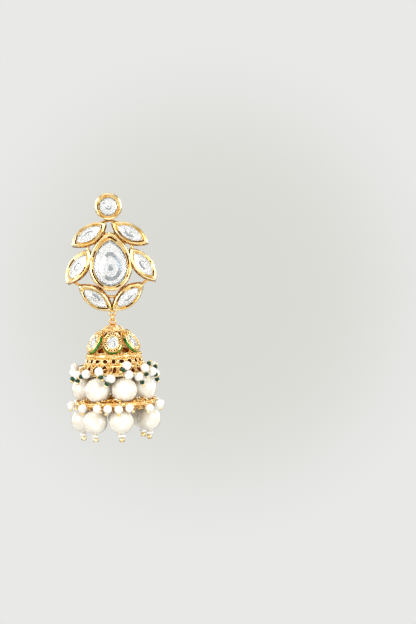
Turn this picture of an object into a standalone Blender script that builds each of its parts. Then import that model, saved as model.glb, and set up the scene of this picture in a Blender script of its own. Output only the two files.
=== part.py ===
# Drop earring in the jhumka form, at its real size.
# A brooch of stone-set cups with its ear post carries a pierced bell on a ring.
# The bell carries seven pearls on wires, a ring under them, and seven more pearls below it.
# The front faces -Y, +Z is up, and the origin is where the post leaves the back of the stud.
import math

import bmesh
import bpy
from mathutils import Matrix, Vector

MM = 0.001

# Clearances and wires
FIT = 0.2 * MM  # round a stone, a wire in a bore, and under a pearl
WIRE_RADIUS = 0.2 * MM  # loops, the hanging ring and the bead stems
STRUT_RADIUS = 0.38 * MM  # soldered wires between the cups of the brooch
PEARL_WIRE_RADIUS = 0.25 * MM

# Round stud
STUD_RADIUS = 3.86 * MM
STUD_HEIGHT = 3.2 * MM
STUD_RIM = 1.35 * MM
POST_RADIUS = 0.45 * MM
POST_LENGTH = 11.0 * MM

# Pear cup in the middle of the brooch
PEAR_DROP = 16.9 * MM  # stud centre down to the widest line of the pear
PEAR_HALF_WIDTH = 6.1 * MM
PEAR_TIP_LENGTH = 9.9 * MM
PEAR_BASE_LENGTH = 6.9 * MM
PEAR_HEIGHT = 3.2 * MM
PEAR_RIM = 1.45 * MM
PEAR_TIP_RIM = 2.4 * MM

# Six pointed leaf cups round the pear
LEAF_HALF_LENGTH = 5.8 * MM
LEAF_HALF_WIDTH = 2.75 * MM
LEAF_HEIGHT = 2.5 * MM
LEAF_RIM = 0.9 * MM
LEAF_TIP_RIM = 1.8 * MM
LEAF_LEAN = math.radians(18)
# Columns: name, across as a share of the pear's half width, up as a share of its tip
# length, and the turn of the long axis in degrees from level
LEAVES = (
    ("upper", 0.967, 0.944, -30.6),
    ("middle", 1.525, 0.040, -54.5),
    ("lower", 0.770, -0.894, 39.0),
)
# Columns: leaf, place along it as a share of its half length, and the same of the leaf
# that the bridge wire runs to
BRIDGES = (
    ("upper", 0.0, "middle", -0.7),
    ("middle", 0.75, "lower", 0.8),
)

# Stone cups
SEAT_DEPTH = 1.0 * MM
STONE_CROWN = 0.35 * MM  # table above the rim
GIRDLE_DEPTH = 0.3 * MM  # girdle below the rim
TABLE_SHARE = 0.6
CULET_SHARE = 0.4
# Columns: share of the way from the cup's outer line to its seat, and height as a share
# of the cup's height; the seat floor closes the last ring
CUP_SECTIONS = ((0.25, 0.0), (0.0, 0.84), (0.3, 1.0), (1.0, 0.93))

# Hanging ring between the brooch and the bell
RING_SLACK = 0.3 * MM  # left between the two loops inside the ring
EYE_SLACK = 0.5 * MM  # left round the ring's wire inside each loop
HANG_DEPTH = 1.8 * MM  # bell axis in front of the back of the brooch
NECK_LENGTH = 1.6 * MM

# Bell
DOME_HEIGHT = 8.4 * MM
BELL_WALL = 0.6 * MM
BAND_RADIUS = 7.56 * MM  # band between the dome and the skirt
BAND_HEIGHT = 0.9 * MM
SKIRT_HEIGHT = 4.9 * MM
HEM_RADIUS = 9.7 * MM
HEM_THICKNESS = 0.9 * MM
HEM_WIDTH = 1.75 * MM
BAND_BULGE = 0.12 * MM
COLUMNS_PER_PETAL = 7  # faces of the wall round the bell for each petal
# Columns: radius as a share of the band radius, depth as a share of the dome height,
# width of the gap as a share of its spacing, and whether it is open down to the next row.
# The dome has a gap between each two petals.
DOME_ROWS = (
    (0.08, 0.000, 0.30, False),
    (0.32, 0.120, 0.30, False),
    (0.43, 0.240, 0.08, True),
    (0.50, 0.325, 0.26, True),
    (0.55, 0.380, 0.08, False),
    (0.81, 0.730, 0.08, True),
    (0.91, 0.910, 0.34, False),
    (0.955, 0.990, 0.34, False),
)
# The same columns for the skirt, from the band's radius to the hem's, and of its height.
# The skirt has a gap in every second column.
SKIRT_ROWS = (
    (0.03, 0.06, 0.16, True),
    (0.12, 0.17, 0.52, True),
    (0.20, 0.28, 0.16, False),
    (0.33, 0.40, 0.12, True),
    (0.56, 0.58, 0.50, True),
    (0.80, 0.77, 0.52, False),
)

# Six petal cups on the dome
PETALS = 6
PETAL_HALF_WIDTH = 2.6 * MM
PETAL_TIP_LENGTH = 4.0 * MM
PETAL_BASE_LENGTH = 2.8 * MM
PETAL_RIM = 0.85 * MM
PETAL_TIP_RIM = 1.3 * MM
PETAL_STAND = 1.1 * MM  # rim above the dome
PETAL_ROOT = 0.3 * MM  # cup let into the dome
PETAL_PLACE = 0.645  # widest line of the petals as a share of the dome height

# Pearls
PEARLS = 7
UPPER_PEARL_RADIUS = 3.55 * MM
UPPER_INSET = 0.95 * MM  # circle of pearls inside the hem's edge
UPPER_CIRCLE = HEM_RADIUS - UPPER_INSET
UPPER_TURN = math.radians(-33.0)  # first pearl, from the front towards +X
UPPER_SEAT_GAP = 0.35 * MM  # hem to the top of the pearls
LOWER_PEARL_RADIUS = 3.45 * MM
LOWER_STEP = 0.55 * MM  # lower circle of pearls outside the upper one
LOWER_CIRCLE = UPPER_CIRCLE + LOWER_STEP
LOWER_TURN = math.radians(-38.0)
LOWER_SEAT_GAP = 1.1 * MM
SOCKET_DEPTH = 0.6 * MM  # the upper wires stand in sockets in the hem
# Each lower pearl's swing round the ring in degrees from its even place
LOWER_SWING = (0.0, -3.4, 15.1, 11.7, 7.3, 2.8, -0.6)

# Ring under the upper pearls
TIER_REACH = 1.45 * MM  # its edge beyond the hem's
TIER_WIDTH = 3.05 * MM
TIER_OUTER_RADIUS = HEM_RADIUS + TIER_REACH
TIER_INNER_RADIUS = TIER_OUTER_RADIUS - TIER_WIDTH
TIER_RIM_WIDTH = 0.6 * MM
TIER_RIM_HEIGHT = 1.3 * MM
TIER_PLATE = 0.5 * MM
TIER_RIM_RISE = 0.4 * MM

# Bead and end knob under each lower pearl
SPACER_RADIUS = 0.95 * MM
SPACER_HEIGHT = 1.0 * MM
KNOB_RADIUS = 0.68 * MM

# Small white beads on stems
UPPER_BEAD_RADIUS = 1.3 * MM
UPPER_BEAD_REACH = 1.7 * MM  # circle of the beads beyond the hem's edge
LOWER_BEAD_RADIUS = 1.22 * MM
LOWER_BEAD_REACH = 1.45 * MM  # circle of the beads beyond the tier ring's edge
KNOT_RADIUS = 0.4 * MM  # where a spray's stems meet
SPRAY_ROOT = 0.45  # height of the upper knots as a share of the skirt height
# Each spray's beads: turn in degrees from the middle of its gap between pearls, and
# depth below the band as a share of the skirt height
UPPER_SPRAYS = (
    ((-27.2, 0.82), (-5.4, 0.92), (16.3, 0.82)),
    ((-13.7, 0.68), (3.3, 1.09), (26.5, 0.38)),
    ((-22.5, 0.90), (-6.5, 1.06), (5.4, 0.48)),
    ((-26.5, 0.78), (-8.0, 1.02), (12.0, 0.62)),
    ((-17.0, 0.74), (0.0, 1.05), (17.0, 0.66)),
    ((-17.0, 0.62), (1.0, 1.04), (16.0, 0.84)),
    ((-16.0, 0.80), (-1.0, 1.06), (9.5, 0.58)),
)
# The same for the lower sprays: turn in degrees from the front, and depth below the
# tier ring's plate as a share of the bead radius
LOWER_SPRAYS = (
    ((-78.0, 0.10), (-46.0, 0.55)),
    ((-23.0, 0.50), (-9.0, 0.60)),
    ((5.0, 0.75), (19.0, 0.55)),
    ((50.0, 1.00), (72.0, 0.45)),
    ((98.0, 0.60), (116.0, 0.40)),
    ((146.0, 0.60), (164.0, 0.50)),
    ((-160.0, 0.60), (-118.0, 0.40)),
)

# Finish of each kind of piece: colour, metallic and roughness
FINISHES = {
    "polished_gold": ((0.83, 0.55, 0.17, 1.0), 1.0, 0.22),
    "clear_cut_stone": ((0.88, 0.90, 0.92, 1.0), 0.0, 0.05),
    "cream_pearl": ((0.93, 0.90, 0.83, 1.0), 0.0, 0.25),
    "white_bead": ((0.95, 0.94, 0.92, 1.0), 0.0, 0.35),
}

PEARL_SIDES = 12
BEAD_SIDES = 10
WIRE_SIDES = 6
LOOP_STEPS = 10

TOWARD_VIEWER = Vector((0, -1, 0))


def clear_scene():
    for item in list(bpy.data.objects):
        bpy.data.objects.remove(item)


def finish(name):
    material = bpy.data.materials.get(name)
    if material is None:
        colour, metallic, roughness = FINISHES[name]
        material = bpy.data.materials.new(name)
        material.use_nodes = True
        shader = material.node_tree.nodes["Principled BSDF"]
        shader.inputs["Base Color"].default_value = colour
        shader.inputs["Metallic"].default_value = metallic
        shader.inputs["Roughness"].default_value = roughness
    return material


def solid(name, points, faces, material=None):
    """Makes an object of one closed body with its faces outwards."""
    shape = bmesh.new()
    corners = [shape.verts.new(point) for point in points]
    for face in faces:
        shape.faces.new([corners[index] for index in face])
    bmesh.ops.recalc_face_normals(shape, faces=shape.faces)
    mesh = bpy.data.meshes.new(name)
    shape.to_mesh(mesh)
    shape.free()
    item = bpy.data.objects.new(name, mesh)
    bpy.context.scene.collection.objects.link(item)
    if material:
        mesh.materials.append(finish(material))
    return item


def smooth(item, degrees):
    item.data.shade_smooth()
    item.data.set_sharp_from_angle(angle=math.radians(degrees))


def joined_rings(count, sides, wrap=False):
    """Faces between rings of points that follow each other."""
    faces = []
    for row in range(count if wrap else count - 1):
        low, high = row * sides, (row + 1) % count * sides
        for side in range(sides):
            after = (side + 1) % sides
            faces.append((low + side, low + after, high + after, high + side))
    return faces


def loft(name, rings, material=None):
    """A closed body through rings of points, with a flat face at each end."""
    sides = len(rings[0])
    points = [point for ring in rings for point in ring]
    faces = joined_rings(len(rings), sides)
    faces.append(tuple(range(sides)))
    faces.append(tuple(len(points) - sides + side for side in range(sides)))
    return solid(name, points, faces, material)


def turned(name, profile, sides, middle, material=None, wrap=False):
    """Turns a profile of (radius, height) round the upright line through middle."""
    points = []
    for radius, height in profile:
        for side in range(sides):
            angle = 2 * math.pi * side / sides
            points.append(middle + Vector((radius * math.sin(angle), -radius * math.cos(angle), height)))
    faces = joined_rings(len(profile), sides, wrap)
    if not wrap:
        faces.append(tuple(range(sides)))
        faces.append(tuple(len(points) - sides + side for side in range(sides)))
    return solid(name, points, faces, material)


def wire(name, path, radius, sides=WIRE_SIDES, closed=False):
    """A round wire along a path of points, which may be a closed loop."""
    rings = []
    across = None
    for index, point in enumerate(path):
        if closed:
            before, after = path[index - 1], path[(index + 1) % len(path)]
        else:
            before, after = path[max(index - 1, 0)], path[min(index + 1, len(path) - 1)]
        along = (after - before).normalized()
        if across is None:
            across = along.orthogonal().normalized()
        across = (across - along * across.dot(along)).normalized()
        beside = along.cross(across)
        turns = [2 * math.pi * side / sides for side in range(sides)]
        rings.append([point + (across * math.cos(t) + beside * math.sin(t)) * radius for t in turns])
    if not closed:
        return loft(name, rings)
    return solid(name, [p for ring in rings for p in ring], joined_rings(len(rings), sides, wrap=True))


def loop_of_wire(name, middle, radius, first, second):
    """A ring of wire that lies in the plane of two unit directions."""
    path = []
    for step in range(LOOP_STEPS):
        angle = 2 * math.pi * (step + 0.5) / LOOP_STEPS
        path.append(middle + (first * math.cos(angle) + second * math.sin(angle)) * radius)
    return wire(name, path, WIRE_RADIUS, closed=True)


def unite(name, pieces, material, cutters=(), angle=35):
    """Solders pieces into one body, then takes the cutters away from it."""
    base = pieces[0]
    groups = (("UNION", pieces[1:]), ("DIFFERENCE", list(cutters)))
    spare = []
    for operation, members in groups:
        if not members:
            continue
        group = bpy.data.collections.new(name + "_" + operation.lower())
        for member in members:
            group.objects.link(member)
            bpy.context.scene.collection.objects.unlink(member)
        bpy.context.scene.collection.children.link(group)
        spare.append(group)
        step = base.modifiers.new(operation.lower(), "BOOLEAN")
        step.operation = operation
        step.operand_type = "COLLECTION"
        step.collection = group
        step.solver = "EXACT"
    view = bpy.context.evaluated_depsgraph_get()
    mesh = bpy.data.meshes.new_from_object(base.evaluated_get(view))
    for group in spare:
        for member in list(group.objects):
            bpy.data.objects.remove(member)
        bpy.data.collections.remove(group)
    bpy.data.objects.remove(base)
    shape = bmesh.new()
    shape.from_mesh(mesh)
    bmesh.ops.remove_doubles(shape, verts=shape.verts, dist=0.002 * MM)
    bmesh.ops.dissolve_degenerate(shape, edges=shape.edges, dist=0.002 * MM)
    bmesh.ops.dissolve_limit(shape, angle_limit=math.radians(0.5), verts=shape.verts, edges=shape.edges)
    bmesh.ops.triangulate(shape, faces=shape.faces)
    shape.to_mesh(mesh)
    shape.free()
    mesh.name = name
    mesh.materials.clear()
    mesh.materials.append(finish(material))
    item = bpy.data.objects.new(name, mesh)
    bpy.context.scene.collection.objects.link(item)
    smooth(item, angle)
    return item


def round_line(radius, sides):
    turns = [2 * math.pi * side / sides for side in range(sides)]
    return [(radius * math.sin(turn), radius * math.cos(turn)) for turn in turns]


def arc_half(half_width, length, steps):
    """Points from the widest place, at zero, up to a pointed tip on the centre line."""
    offset = (length ** 2 - half_width ** 2) / (2 * half_width)
    radius = half_width + offset
    sweep = math.atan2(length, offset)
    turns = [sweep * step / steps for step in range(steps + 1)]
    return [(radius * math.cos(turn) - offset, radius * math.sin(turn)) for turn in turns]


def leaf_line(half_width, half_length, steps):
    """A line pointed at both ends."""
    right = arc_half(half_width, half_length, steps)
    upper = right + [(-x, y) for x, y in reversed(right[:-1])]
    return upper + [(x, -y) for x, y in reversed(upper[1:-1])]


def pear_line(half_width, tip_length, base_length, tip_steps, base_steps):
    """A line pointed at the top and round at the bottom."""
    right = arc_half(half_width, tip_length, tip_steps)
    upper = right + [(-x, y) for x, y in reversed(right[:-1])]
    turns = [math.pi * step / base_steps for step in range(1, base_steps)]
    return upper + [(-half_width * math.cos(turn), -base_length * math.sin(turn)) for turn in turns]


def cup_place(origin, across, up, outward):
    """Matrix from a cup's own axes to the earring's."""
    frame = Matrix.Identity(4)
    for column, axis in enumerate((across, up, outward, origin)):
        for row in range(3):
            frame[row][column] = axis[row]
    return frame


def cup(name, outer, seat, height, place):
    """A collet: a cup of metal with a rounded rim and a sunk seat for its stone."""
    rings = []
    for share, level in CUP_SECTIONS:
        line = [(ox + (sx - ox) * share, oy + (sy - oy) * share) for (ox, oy), (sx, sy) in zip(outer, seat)]
        rings.append([place @ Vector((x, y, level * height)) for x, y in line])
    rings.append([place @ Vector((x, y, height - SEAT_DEPTH)) for x, y in seat])
    return loft(name, rings)


def stone(name, line, height, place):
    """A cut stone: flat table, crown facets to the girdle, and facets down to a flat culet."""
    middle = Vector((sum(x for x, _ in line) / len(line), sum(y for _, y in line) / len(line)))
    levels = (
        (CULET_SHARE, height - SEAT_DEPTH + FIT),
        (1.0, height - GIRDLE_DEPTH),
        (TABLE_SHARE, height + STONE_CROWN),
    )
    rings = []
    for share, level in levels:
        ring = [middle + (Vector(point) - middle) * share for point in line]
        rings.append([place @ Vector((x, y, level)) for x, y in ring])
    return loft(name, rings, "clear_cut_stone")


def round_cup_and_stone(pieces):
    place = cup_place(Vector(), Vector((1, 0, 0)), Vector((0, 0, 1)), TOWARD_VIEWER)
    seat = round_line(STUD_RADIUS - STUD_RIM, 16)
    pieces.append(cup("stud_cup", round_line(STUD_RADIUS, 16), seat, STUD_HEIGHT, place))
    stone("stone_round", round_line(STUD_RADIUS - STUD_RIM - FIT, 16), STUD_HEIGHT, place)


def pear_cup_and_stone(pieces):
    place = cup_place(Vector((0, 0, -PEAR_DROP)), Vector((1, 0, 0)), Vector((0, 0, 1)), TOWARD_VIEWER)
    lines = []
    for rim, tip_rim in ((0, 0), (PEAR_RIM, PEAR_TIP_RIM), (PEAR_RIM + FIT, PEAR_TIP_RIM + FIT)):
        lines.append(
            pear_line(PEAR_HALF_WIDTH - rim, PEAR_TIP_LENGTH - tip_rim, PEAR_BASE_LENGTH - rim, 5, 8)
        )
    pieces.append(cup("pear_cup", lines[0], lines[1], PEAR_HEIGHT, place))
    stone("stone_pear", lines[2], PEAR_HEIGHT, place)


def leaf_frames():
    """Where each leaf cup's base is: a matrix for each side of each row of the table."""
    heart = Vector((0, 0, -PEAR_DROP))
    frames = {}
    for name, across_share, up_share, turn in LEAVES:
        for side_name, side in (("right", 1), ("left", -1)):
            rim_middle = heart + Vector(
                (side * across_share * PEAR_HALF_WIDTH, 0, up_share * PEAR_TIP_LENGTH)
            )
            angle = math.radians(turn if side > 0 else 180 - turn)
            up = Vector((math.cos(angle), 0, math.sin(angle)))
            across = Vector((math.sin(angle), 0, -math.cos(angle)))
            away = 1 if across.dot(rim_middle - heart) > 0 else -1
            lean_out = across * away
            outward = TOWARD_VIEWER * math.cos(LEAF_LEAN) + lean_out * math.sin(LEAF_LEAN)
            leaned = across * math.cos(LEAF_LEAN) - TOWARD_VIEWER * (away * math.sin(LEAF_LEAN))
            base = rim_middle - lean_out * (LEAF_HEIGHT * math.sin(LEAF_LEAN))
            base += TOWARD_VIEWER * (LEAF_HALF_WIDTH * math.sin(LEAF_LEAN))
            frames[name, side_name] = cup_place(base, leaned, up, outward)
    return frames


def leaf_cups_and_stones(pieces, frames):
    outer = leaf_line(LEAF_HALF_WIDTH, LEAF_HALF_LENGTH, 4)
    seat = leaf_line(LEAF_HALF_WIDTH - LEAF_RIM, LEAF_HALF_LENGTH - LEAF_TIP_RIM, 4)
    cut = leaf_line(LEAF_HALF_WIDTH - LEAF_RIM - FIT, LEAF_HALF_LENGTH - LEAF_TIP_RIM - FIT, 3)
    for (name, side_name), place in frames.items():
        pieces.append(cup("leaf_cup_" + name + "_" + side_name, outer, seat, LEAF_HEIGHT, place))
        stone("stone_leaf_" + name + "_" + side_name, cut, LEAF_HEIGHT, place)


def brooch_wires(pieces, frames):
    """Struts soldered behind the cups, and the bridges that show between the leaves."""
    depth = STRUT_RADIUS * 2
    heart = Vector((0, -depth, -PEAR_DROP))
    pieces.append(wire("strut_stud", (Vector((0, -depth, 0)), heart), STRUT_RADIUS))
    for (name, side_name), place in frames.items():
        root = place @ Vector((0, 0, depth))
        pieces.append(wire("strut_" + name + "_" + side_name, (root, heart), STRUT_RADIUS))
    for side_name in ("right", "left"):
        for first, first_share, second, second_share in BRIDGES:
            ends = [
                frames[leaf, side_name] @ Vector((0, share * LEAF_HALF_LENGTH, depth))
                for leaf, share in ((first, first_share), (second, second_share))
            ]
            pieces.append(wire("bridge_" + first + "_" + side_name, ends, STRUT_RADIUS))
    low = [frames["lower", side_name] @ Vector((0, 0, depth)) for side_name in ("right", "left")]
    pieces.append(wire("bridge_lower", low, STRUT_RADIUS))


def leaf_point_height():
    """Height of the lowest leaf tips, where the brooch's loop is soldered."""
    _, _, up_share, turn = LEAVES[-1]
    return -PEAR_DROP + up_share * PEAR_TIP_LENGTH - LEAF_HALF_LENGTH * math.sin(math.radians(turn))


# Heights of the hanging pieces, each worked out from the one above
EYE_RADIUS = (4 * WIRE_RADIUS + FIT + EYE_SLACK) / 2
RING_RADIUS = (6 * WIRE_RADIUS + 2 * FIT + RING_SLACK) / 2
WIRE_STEP = 2 * WIRE_RADIUS + FIT  # between the middles of two wires that bear on each other
BROOCH_EYE = leaf_point_height() - EYE_RADIUS
FIRST_PIVOT = BROOCH_EYE - EYE_RADIUS
RING_MIDDLE = FIRST_PIVOT + WIRE_STEP - RING_RADIUS
SECOND_PIVOT = RING_MIDDLE - RING_RADIUS
BELL_EYE = SECOND_PIVOT + WIRE_STEP - EYE_RADIUS
BELL_TOP = BELL_EYE - EYE_RADIUS + WIRE_RADIUS / 2
BAND_TOP = BELL_TOP - DOME_HEIGHT
SKIRT_TOP = BAND_TOP - BAND_HEIGHT
HEM_BOTTOM = SKIRT_TOP - SKIRT_HEIGHT
UPPER_PEARL_MIDDLE = HEM_BOTTOM - UPPER_SEAT_GAP - UPPER_PEARL_RADIUS
TIER_TOP = UPPER_PEARL_MIDDLE - UPPER_PEARL_RADIUS - FIT
TIER_BOTTOM = TIER_TOP - TIER_PLATE
LOWER_PEARL_MIDDLE = TIER_BOTTOM - LOWER_SEAT_GAP - LOWER_PEARL_RADIUS
SPACER_TOP = LOWER_PEARL_MIDDLE - LOWER_PEARL_RADIUS - FIT


def on_axis(height):
    return Vector((0, -HANG_DEPTH, height))


def round_axis(radius, angle, height):
    """A point round the bell's axis, turned from the front towards +X."""
    return on_axis(height) + Vector((radius * math.sin(angle), -radius * math.cos(angle), 0))


def brooch():
    pieces = []
    frames = leaf_frames()
    pear_cup_and_stone(pieces)
    round_cup_and_stone(pieces)
    leaf_cups_and_stones(pieces, frames)
    brooch_wires(pieces, frames)
    post_ends = (Vector((0, -STRUT_RADIUS, 0)), Vector((0, POST_LENGTH, 0)))
    pieces.append(wire("post", post_ends, POST_RADIUS, sides=12))
    tip = leaf_point_height()
    pieces.append(wire("neck", (on_axis(tip + NECK_LENGTH), on_axis(tip - WIRE_RADIUS / 2)), STRUT_RADIUS))
    eye = loop_of_wire("eye", on_axis(BROOCH_EYE), EYE_RADIUS, Vector((1, 0, 0)), Vector((0, 0, 1)))
    unite("brooch_frame", pieces + [eye], "polished_gold")


def hanging_ring():
    item = loop_of_wire(
        "hanging_ring", on_axis(RING_MIDDLE), RING_RADIUS, Vector((0, 1, 0)), Vector((0, 0, 1))
    )
    item.data.materials.append(finish("polished_gold"))
    smooth(item, 60)


def inner_profile(profile, wall):
    """The same profile moved inwards by the wall's thickness."""
    moved = []
    for index, point in enumerate(profile):
        before, after = profile[max(index - 1, 0)], profile[min(index + 1, len(profile) - 1)]
        run = Vector(after) - Vector(before)
        inward = Vector((run.y, -run.x)).normalized()
        moved.append((max(point[0] + inward.x * wall, 0.1 * wall), point[1] + inward.y * wall))
    return moved


def pierced_shell(name, rows, flange_rows, flange_radius):
    """A turned wall, closed at the top and cut through in evenly spaced gaps.

    Each row is (radius, height, columns to a gap, gap width as a share of its spacing, and
    whether it is open down to the next row). The last rows reach in as a flange.
    """
    columns = PETALS * COLUMNS_PER_PETAL
    pitch = 2 * math.pi / columns
    outside = [row[:2] for row in rows]
    inside = inner_profile(outside, BELL_WALL)
    for index in range(len(rows) - flange_rows, len(rows)):
        inside[index] = (flange_radius, outside[index][1])
    points = []
    for profile in (outside, inside):
        for (radius, height), (_, _, per_gap, width, _) in zip(profile, rows):
            for column in range(columns):
                gap, place = divmod(column, per_gap)
                turn = -width / 2
                if place:
                    turn = width / 2 + (1 - width) * (place - 1) / (per_gap - 1)
                angle = (gap + turn) * per_gap * pitch - math.pi / PETALS
                points.append(round_axis(radius, angle, height))

    def is_open(row, column):
        per_gap = rows[row][2]
        return rows[row][4] and column % per_gap == 0 and column // per_gap < columns // per_gap

    layer = len(rows) * columns
    faces = []
    for row in range(len(rows) - 1):
        for column in range(columns):
            after = (column + 1) % columns
            a, b = row * columns + column, row * columns + after
            c, d = b + columns, a + columns
            if not is_open(row, column):
                faces.append((a, b, c, d))
                faces.append((d + layer, c + layer, b + layer, a + layer))
                continue
            edges = [(d, a), (b, c)]
            if not is_open(row - 1, column):
                edges.append((a, b))
            if not is_open(row + 1, column):
                edges.append((c, d))
            faces += [(start, end, end + layer, start + layer) for start, end in edges]
    last = (len(rows) - 1) * columns
    for column in range(columns):
        a, b = last + column, last + (column + 1) % columns
        faces.append((a, b, b + layer, a + layer))
    faces.append(tuple(range(columns)))
    faces.append(tuple(layer + column for column in range(columns)))
    return solid(name, points, faces)


def petal_places():
    """A matrix for each petal cup, leaning with the dome between its cap and its band."""
    cap_radius, cap_depth = DOME_ROWS[2][:2]
    run = BAND_RADIUS * (DOME_ROWS[-1][0] - cap_radius)
    fall = DOME_HEIGHT * (DOME_ROWS[-1][1] - cap_depth)
    lean = math.atan2(run, fall)
    depth = PETAL_PLACE * DOME_HEIGHT
    radius = BAND_RADIUS * cap_radius + (depth - cap_depth * DOME_HEIGHT) * math.tan(lean)
    places = []
    for index in range(PETALS):
        angle = 2 * math.pi * index / PETALS
        radial = Vector((math.sin(angle), -math.cos(angle), 0))
        across = Vector((math.cos(angle), math.sin(angle), 0))
        up = Vector((0, 0, math.cos(lean))) - radial * math.sin(lean)
        outward = radial * math.cos(lean) + Vector((0, 0, math.sin(lean)))
        base = on_axis(BELL_TOP - depth) + radial * radius - outward * PETAL_ROOT
        places.append(cup_place(base, across, up, outward))
    return places


def petal_lines():
    lines = []
    for rim, tip_rim in ((0, 0), (PETAL_RIM, PETAL_TIP_RIM), (PETAL_RIM + FIT, PETAL_TIP_RIM + FIT)):
        lines.append(
            pear_line(PETAL_HALF_WIDTH - rim, PETAL_TIP_LENGTH - tip_rim, PETAL_BASE_LENGTH - rim, 3, 6)
        )
    return lines


def pearl_angles(first, swing):
    return [first + 2 * math.pi * index / PEARLS + math.radians(swing[index]) for index in range(PEARLS)]


UPPER_ANGLES = pearl_angles(UPPER_TURN, [0.0] * PEARLS)
LOWER_ANGLES = pearl_angles(LOWER_TURN, LOWER_SWING)


def bell():
    rows = []
    for share, depth, width, is_open in DOME_ROWS:
        radius, height = share * BAND_RADIUS, BELL_TOP - depth * DOME_HEIGHT
        rows.append((radius, height, COLUMNS_PER_PETAL, width, is_open))
    plain = SKIRT_ROWS[0][2]
    rows.append((BAND_RADIUS, BAND_TOP, 2, plain, False))
    rows.append((BAND_RADIUS + BAND_BULGE, (BAND_TOP + SKIRT_TOP) / 2, 2, plain, False))
    for share, depth, width, is_open in SKIRT_ROWS:
        radius = BAND_RADIUS + share * (HEM_RADIUS - BAND_RADIUS)
        rows.append((radius, SKIRT_TOP - depth * SKIRT_HEIGHT, 2, width, is_open))
    hem_top = HEM_BOTTOM + HEM_THICKNESS
    rows.append((HEM_RADIUS - HEM_THICKNESS / 5, hem_top, 2, SKIRT_ROWS[-1][2], False))
    rows.append((HEM_RADIUS, HEM_BOTTOM, 2, SKIRT_ROWS[-1][2], False))
    pieces = [pierced_shell("wall", rows, 2, HEM_RADIUS - HEM_WIDTH)]
    outer, seat, cut = petal_lines()
    depth = PETAL_ROOT + PETAL_STAND
    for index, place in enumerate(petal_places()):
        pieces.append(cup("petal_cup", outer, seat, depth, place))
        stone("stone_petal_" + str(index + 1), cut, depth, place)
    pieces.append(
        loop_of_wire("bell_eye", on_axis(BELL_EYE), EYE_RADIUS, Vector((1, 0, 0)), Vector((0, 0, 1)))
    )
    sockets = []
    bore = PEARL_WIRE_RADIUS + FIT
    for angle in UPPER_ANGLES:
        foot = round_axis(UPPER_CIRCLE, angle, HEM_BOTTOM)
        profile = ((bore, -FIT), (bore, SOCKET_DEPTH))
        sockets.append(turned("socket", profile, WIRE_SIDES, foot))
    unite("bell", pieces, "polished_gold", sockets)


def tier_ring():
    """The ring under the upper pearls, its wires up to the hem and down through the lower pearls."""
    rim_inner = TIER_OUTER_RADIUS - TIER_RIM_WIDTH
    rim_top = TIER_TOP + TIER_RIM_RISE
    rim_bottom = rim_top - TIER_RIM_HEIGHT
    profile = (
        (TIER_INNER_RADIUS, TIER_BOTTOM),
        (TIER_INNER_RADIUS, TIER_TOP),
        (rim_inner, TIER_TOP),
        (rim_inner + TIER_RIM_WIDTH / 3, rim_top),
        (TIER_OUTER_RADIUS, (rim_top + rim_bottom) / 2),
        (rim_inner + TIER_RIM_WIDTH / 3, rim_bottom),
        (rim_inner, TIER_BOTTOM),
    )
    pieces = [turned("tier", profile, PETALS * COLUMNS_PER_PETAL, on_axis(0), wrap=True)]
    middle = (TIER_TOP + TIER_BOTTOM) / 2
    up = HEM_BOTTOM + SOCKET_DEPTH - FIT - middle
    for angle in UPPER_ANGLES:
        shaft = ((PEARL_WIRE_RADIUS, 0), (PEARL_WIRE_RADIUS, up))
        pieces.append(turned("upper_wire", shaft, WIRE_SIDES, round_axis(UPPER_CIRCLE, angle, middle)))
    spacer_top = SPACER_TOP - middle
    spacer_bottom = spacer_top - SPACER_HEIGHT
    knob = spacer_bottom - KNOB_RADIUS * 0.8
    shaft = (
        (PEARL_WIRE_RADIUS, 0),
        (PEARL_WIRE_RADIUS, spacer_top),
        (SPACER_RADIUS, spacer_top - SPACER_HEIGHT / 3),
        (SPACER_RADIUS, spacer_bottom + SPACER_HEIGHT / 3),
        (KNOB_RADIUS / 2, spacer_bottom),
        (KNOB_RADIUS, knob),
        (KNOB_RADIUS / 2, knob - KNOB_RADIUS),
    )
    for angle in LOWER_ANGLES:
        place = round_axis(LOWER_CIRCLE, angle, middle)
        pieces.append(turned("lower_wire", shaft, WIRE_SIDES, place))
    unite("tier_ring", pieces, "polished_gold")


def pearl(name, middle, radius):
    """A drilled pearl."""
    bore = PEARL_WIRE_RADIUS + FIT
    cut = math.asin(bore / radius)
    steps = PEARL_SIDES // 2
    turns = [cut + (math.pi - 2 * cut) * step / steps for step in range(steps + 1)]
    profile = [(radius * math.sin(turn), radius * math.cos(turn)) for turn in turns]
    item = turned(name, profile, PEARL_SIDES, middle, "cream_pearl", wrap=True)
    smooth(item, 60)


def pearls():
    for index, angle in enumerate(UPPER_ANGLES):
        place = round_axis(UPPER_CIRCLE, angle, UPPER_PEARL_MIDDLE)
        pearl("pearl_upper_" + str(index + 1), place, UPPER_PEARL_RADIUS)
    for index, angle in enumerate(LOWER_ANGLES):
        place = round_axis(LOWER_CIRCLE, angle, LOWER_PEARL_MIDDLE)
        pearl("pearl_lower_" + str(index + 1), place, LOWER_PEARL_RADIUS)


def bead(name, middle, radius, sides):
    steps = 3
    tip = math.radians(20)
    turns = [tip + (math.pi - 2 * tip) * step / steps for step in range(steps + 1)]
    profile = [(radius * math.sin(turn), radius * math.cos(turn)) for turn in turns]
    return turned(name, profile, sides, middle)


def spray(name, beads, carrier_radius, carrier_height, bead_radius):
    """White beads on stems that fan out from one knot beside its carrier."""
    middle = (beads[0][0] + beads[-1][0]) / 2
    knot = round_axis(carrier_radius + KNOT_RADIUS + FIT, middle, carrier_height)
    pieces = [bead("knot", knot, KNOT_RADIUS, WIRE_SIDES)]
    for angle, circle, height in beads:
        spot = round_axis(circle, angle, height)
        pieces.append(wire("stem", (knot, spot), WIRE_RADIUS, sides=5))
        pieces.append(bead("bead", spot, bead_radius, BEAD_SIDES))
    unite(name, pieces, "white_bead", angle=60)


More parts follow.
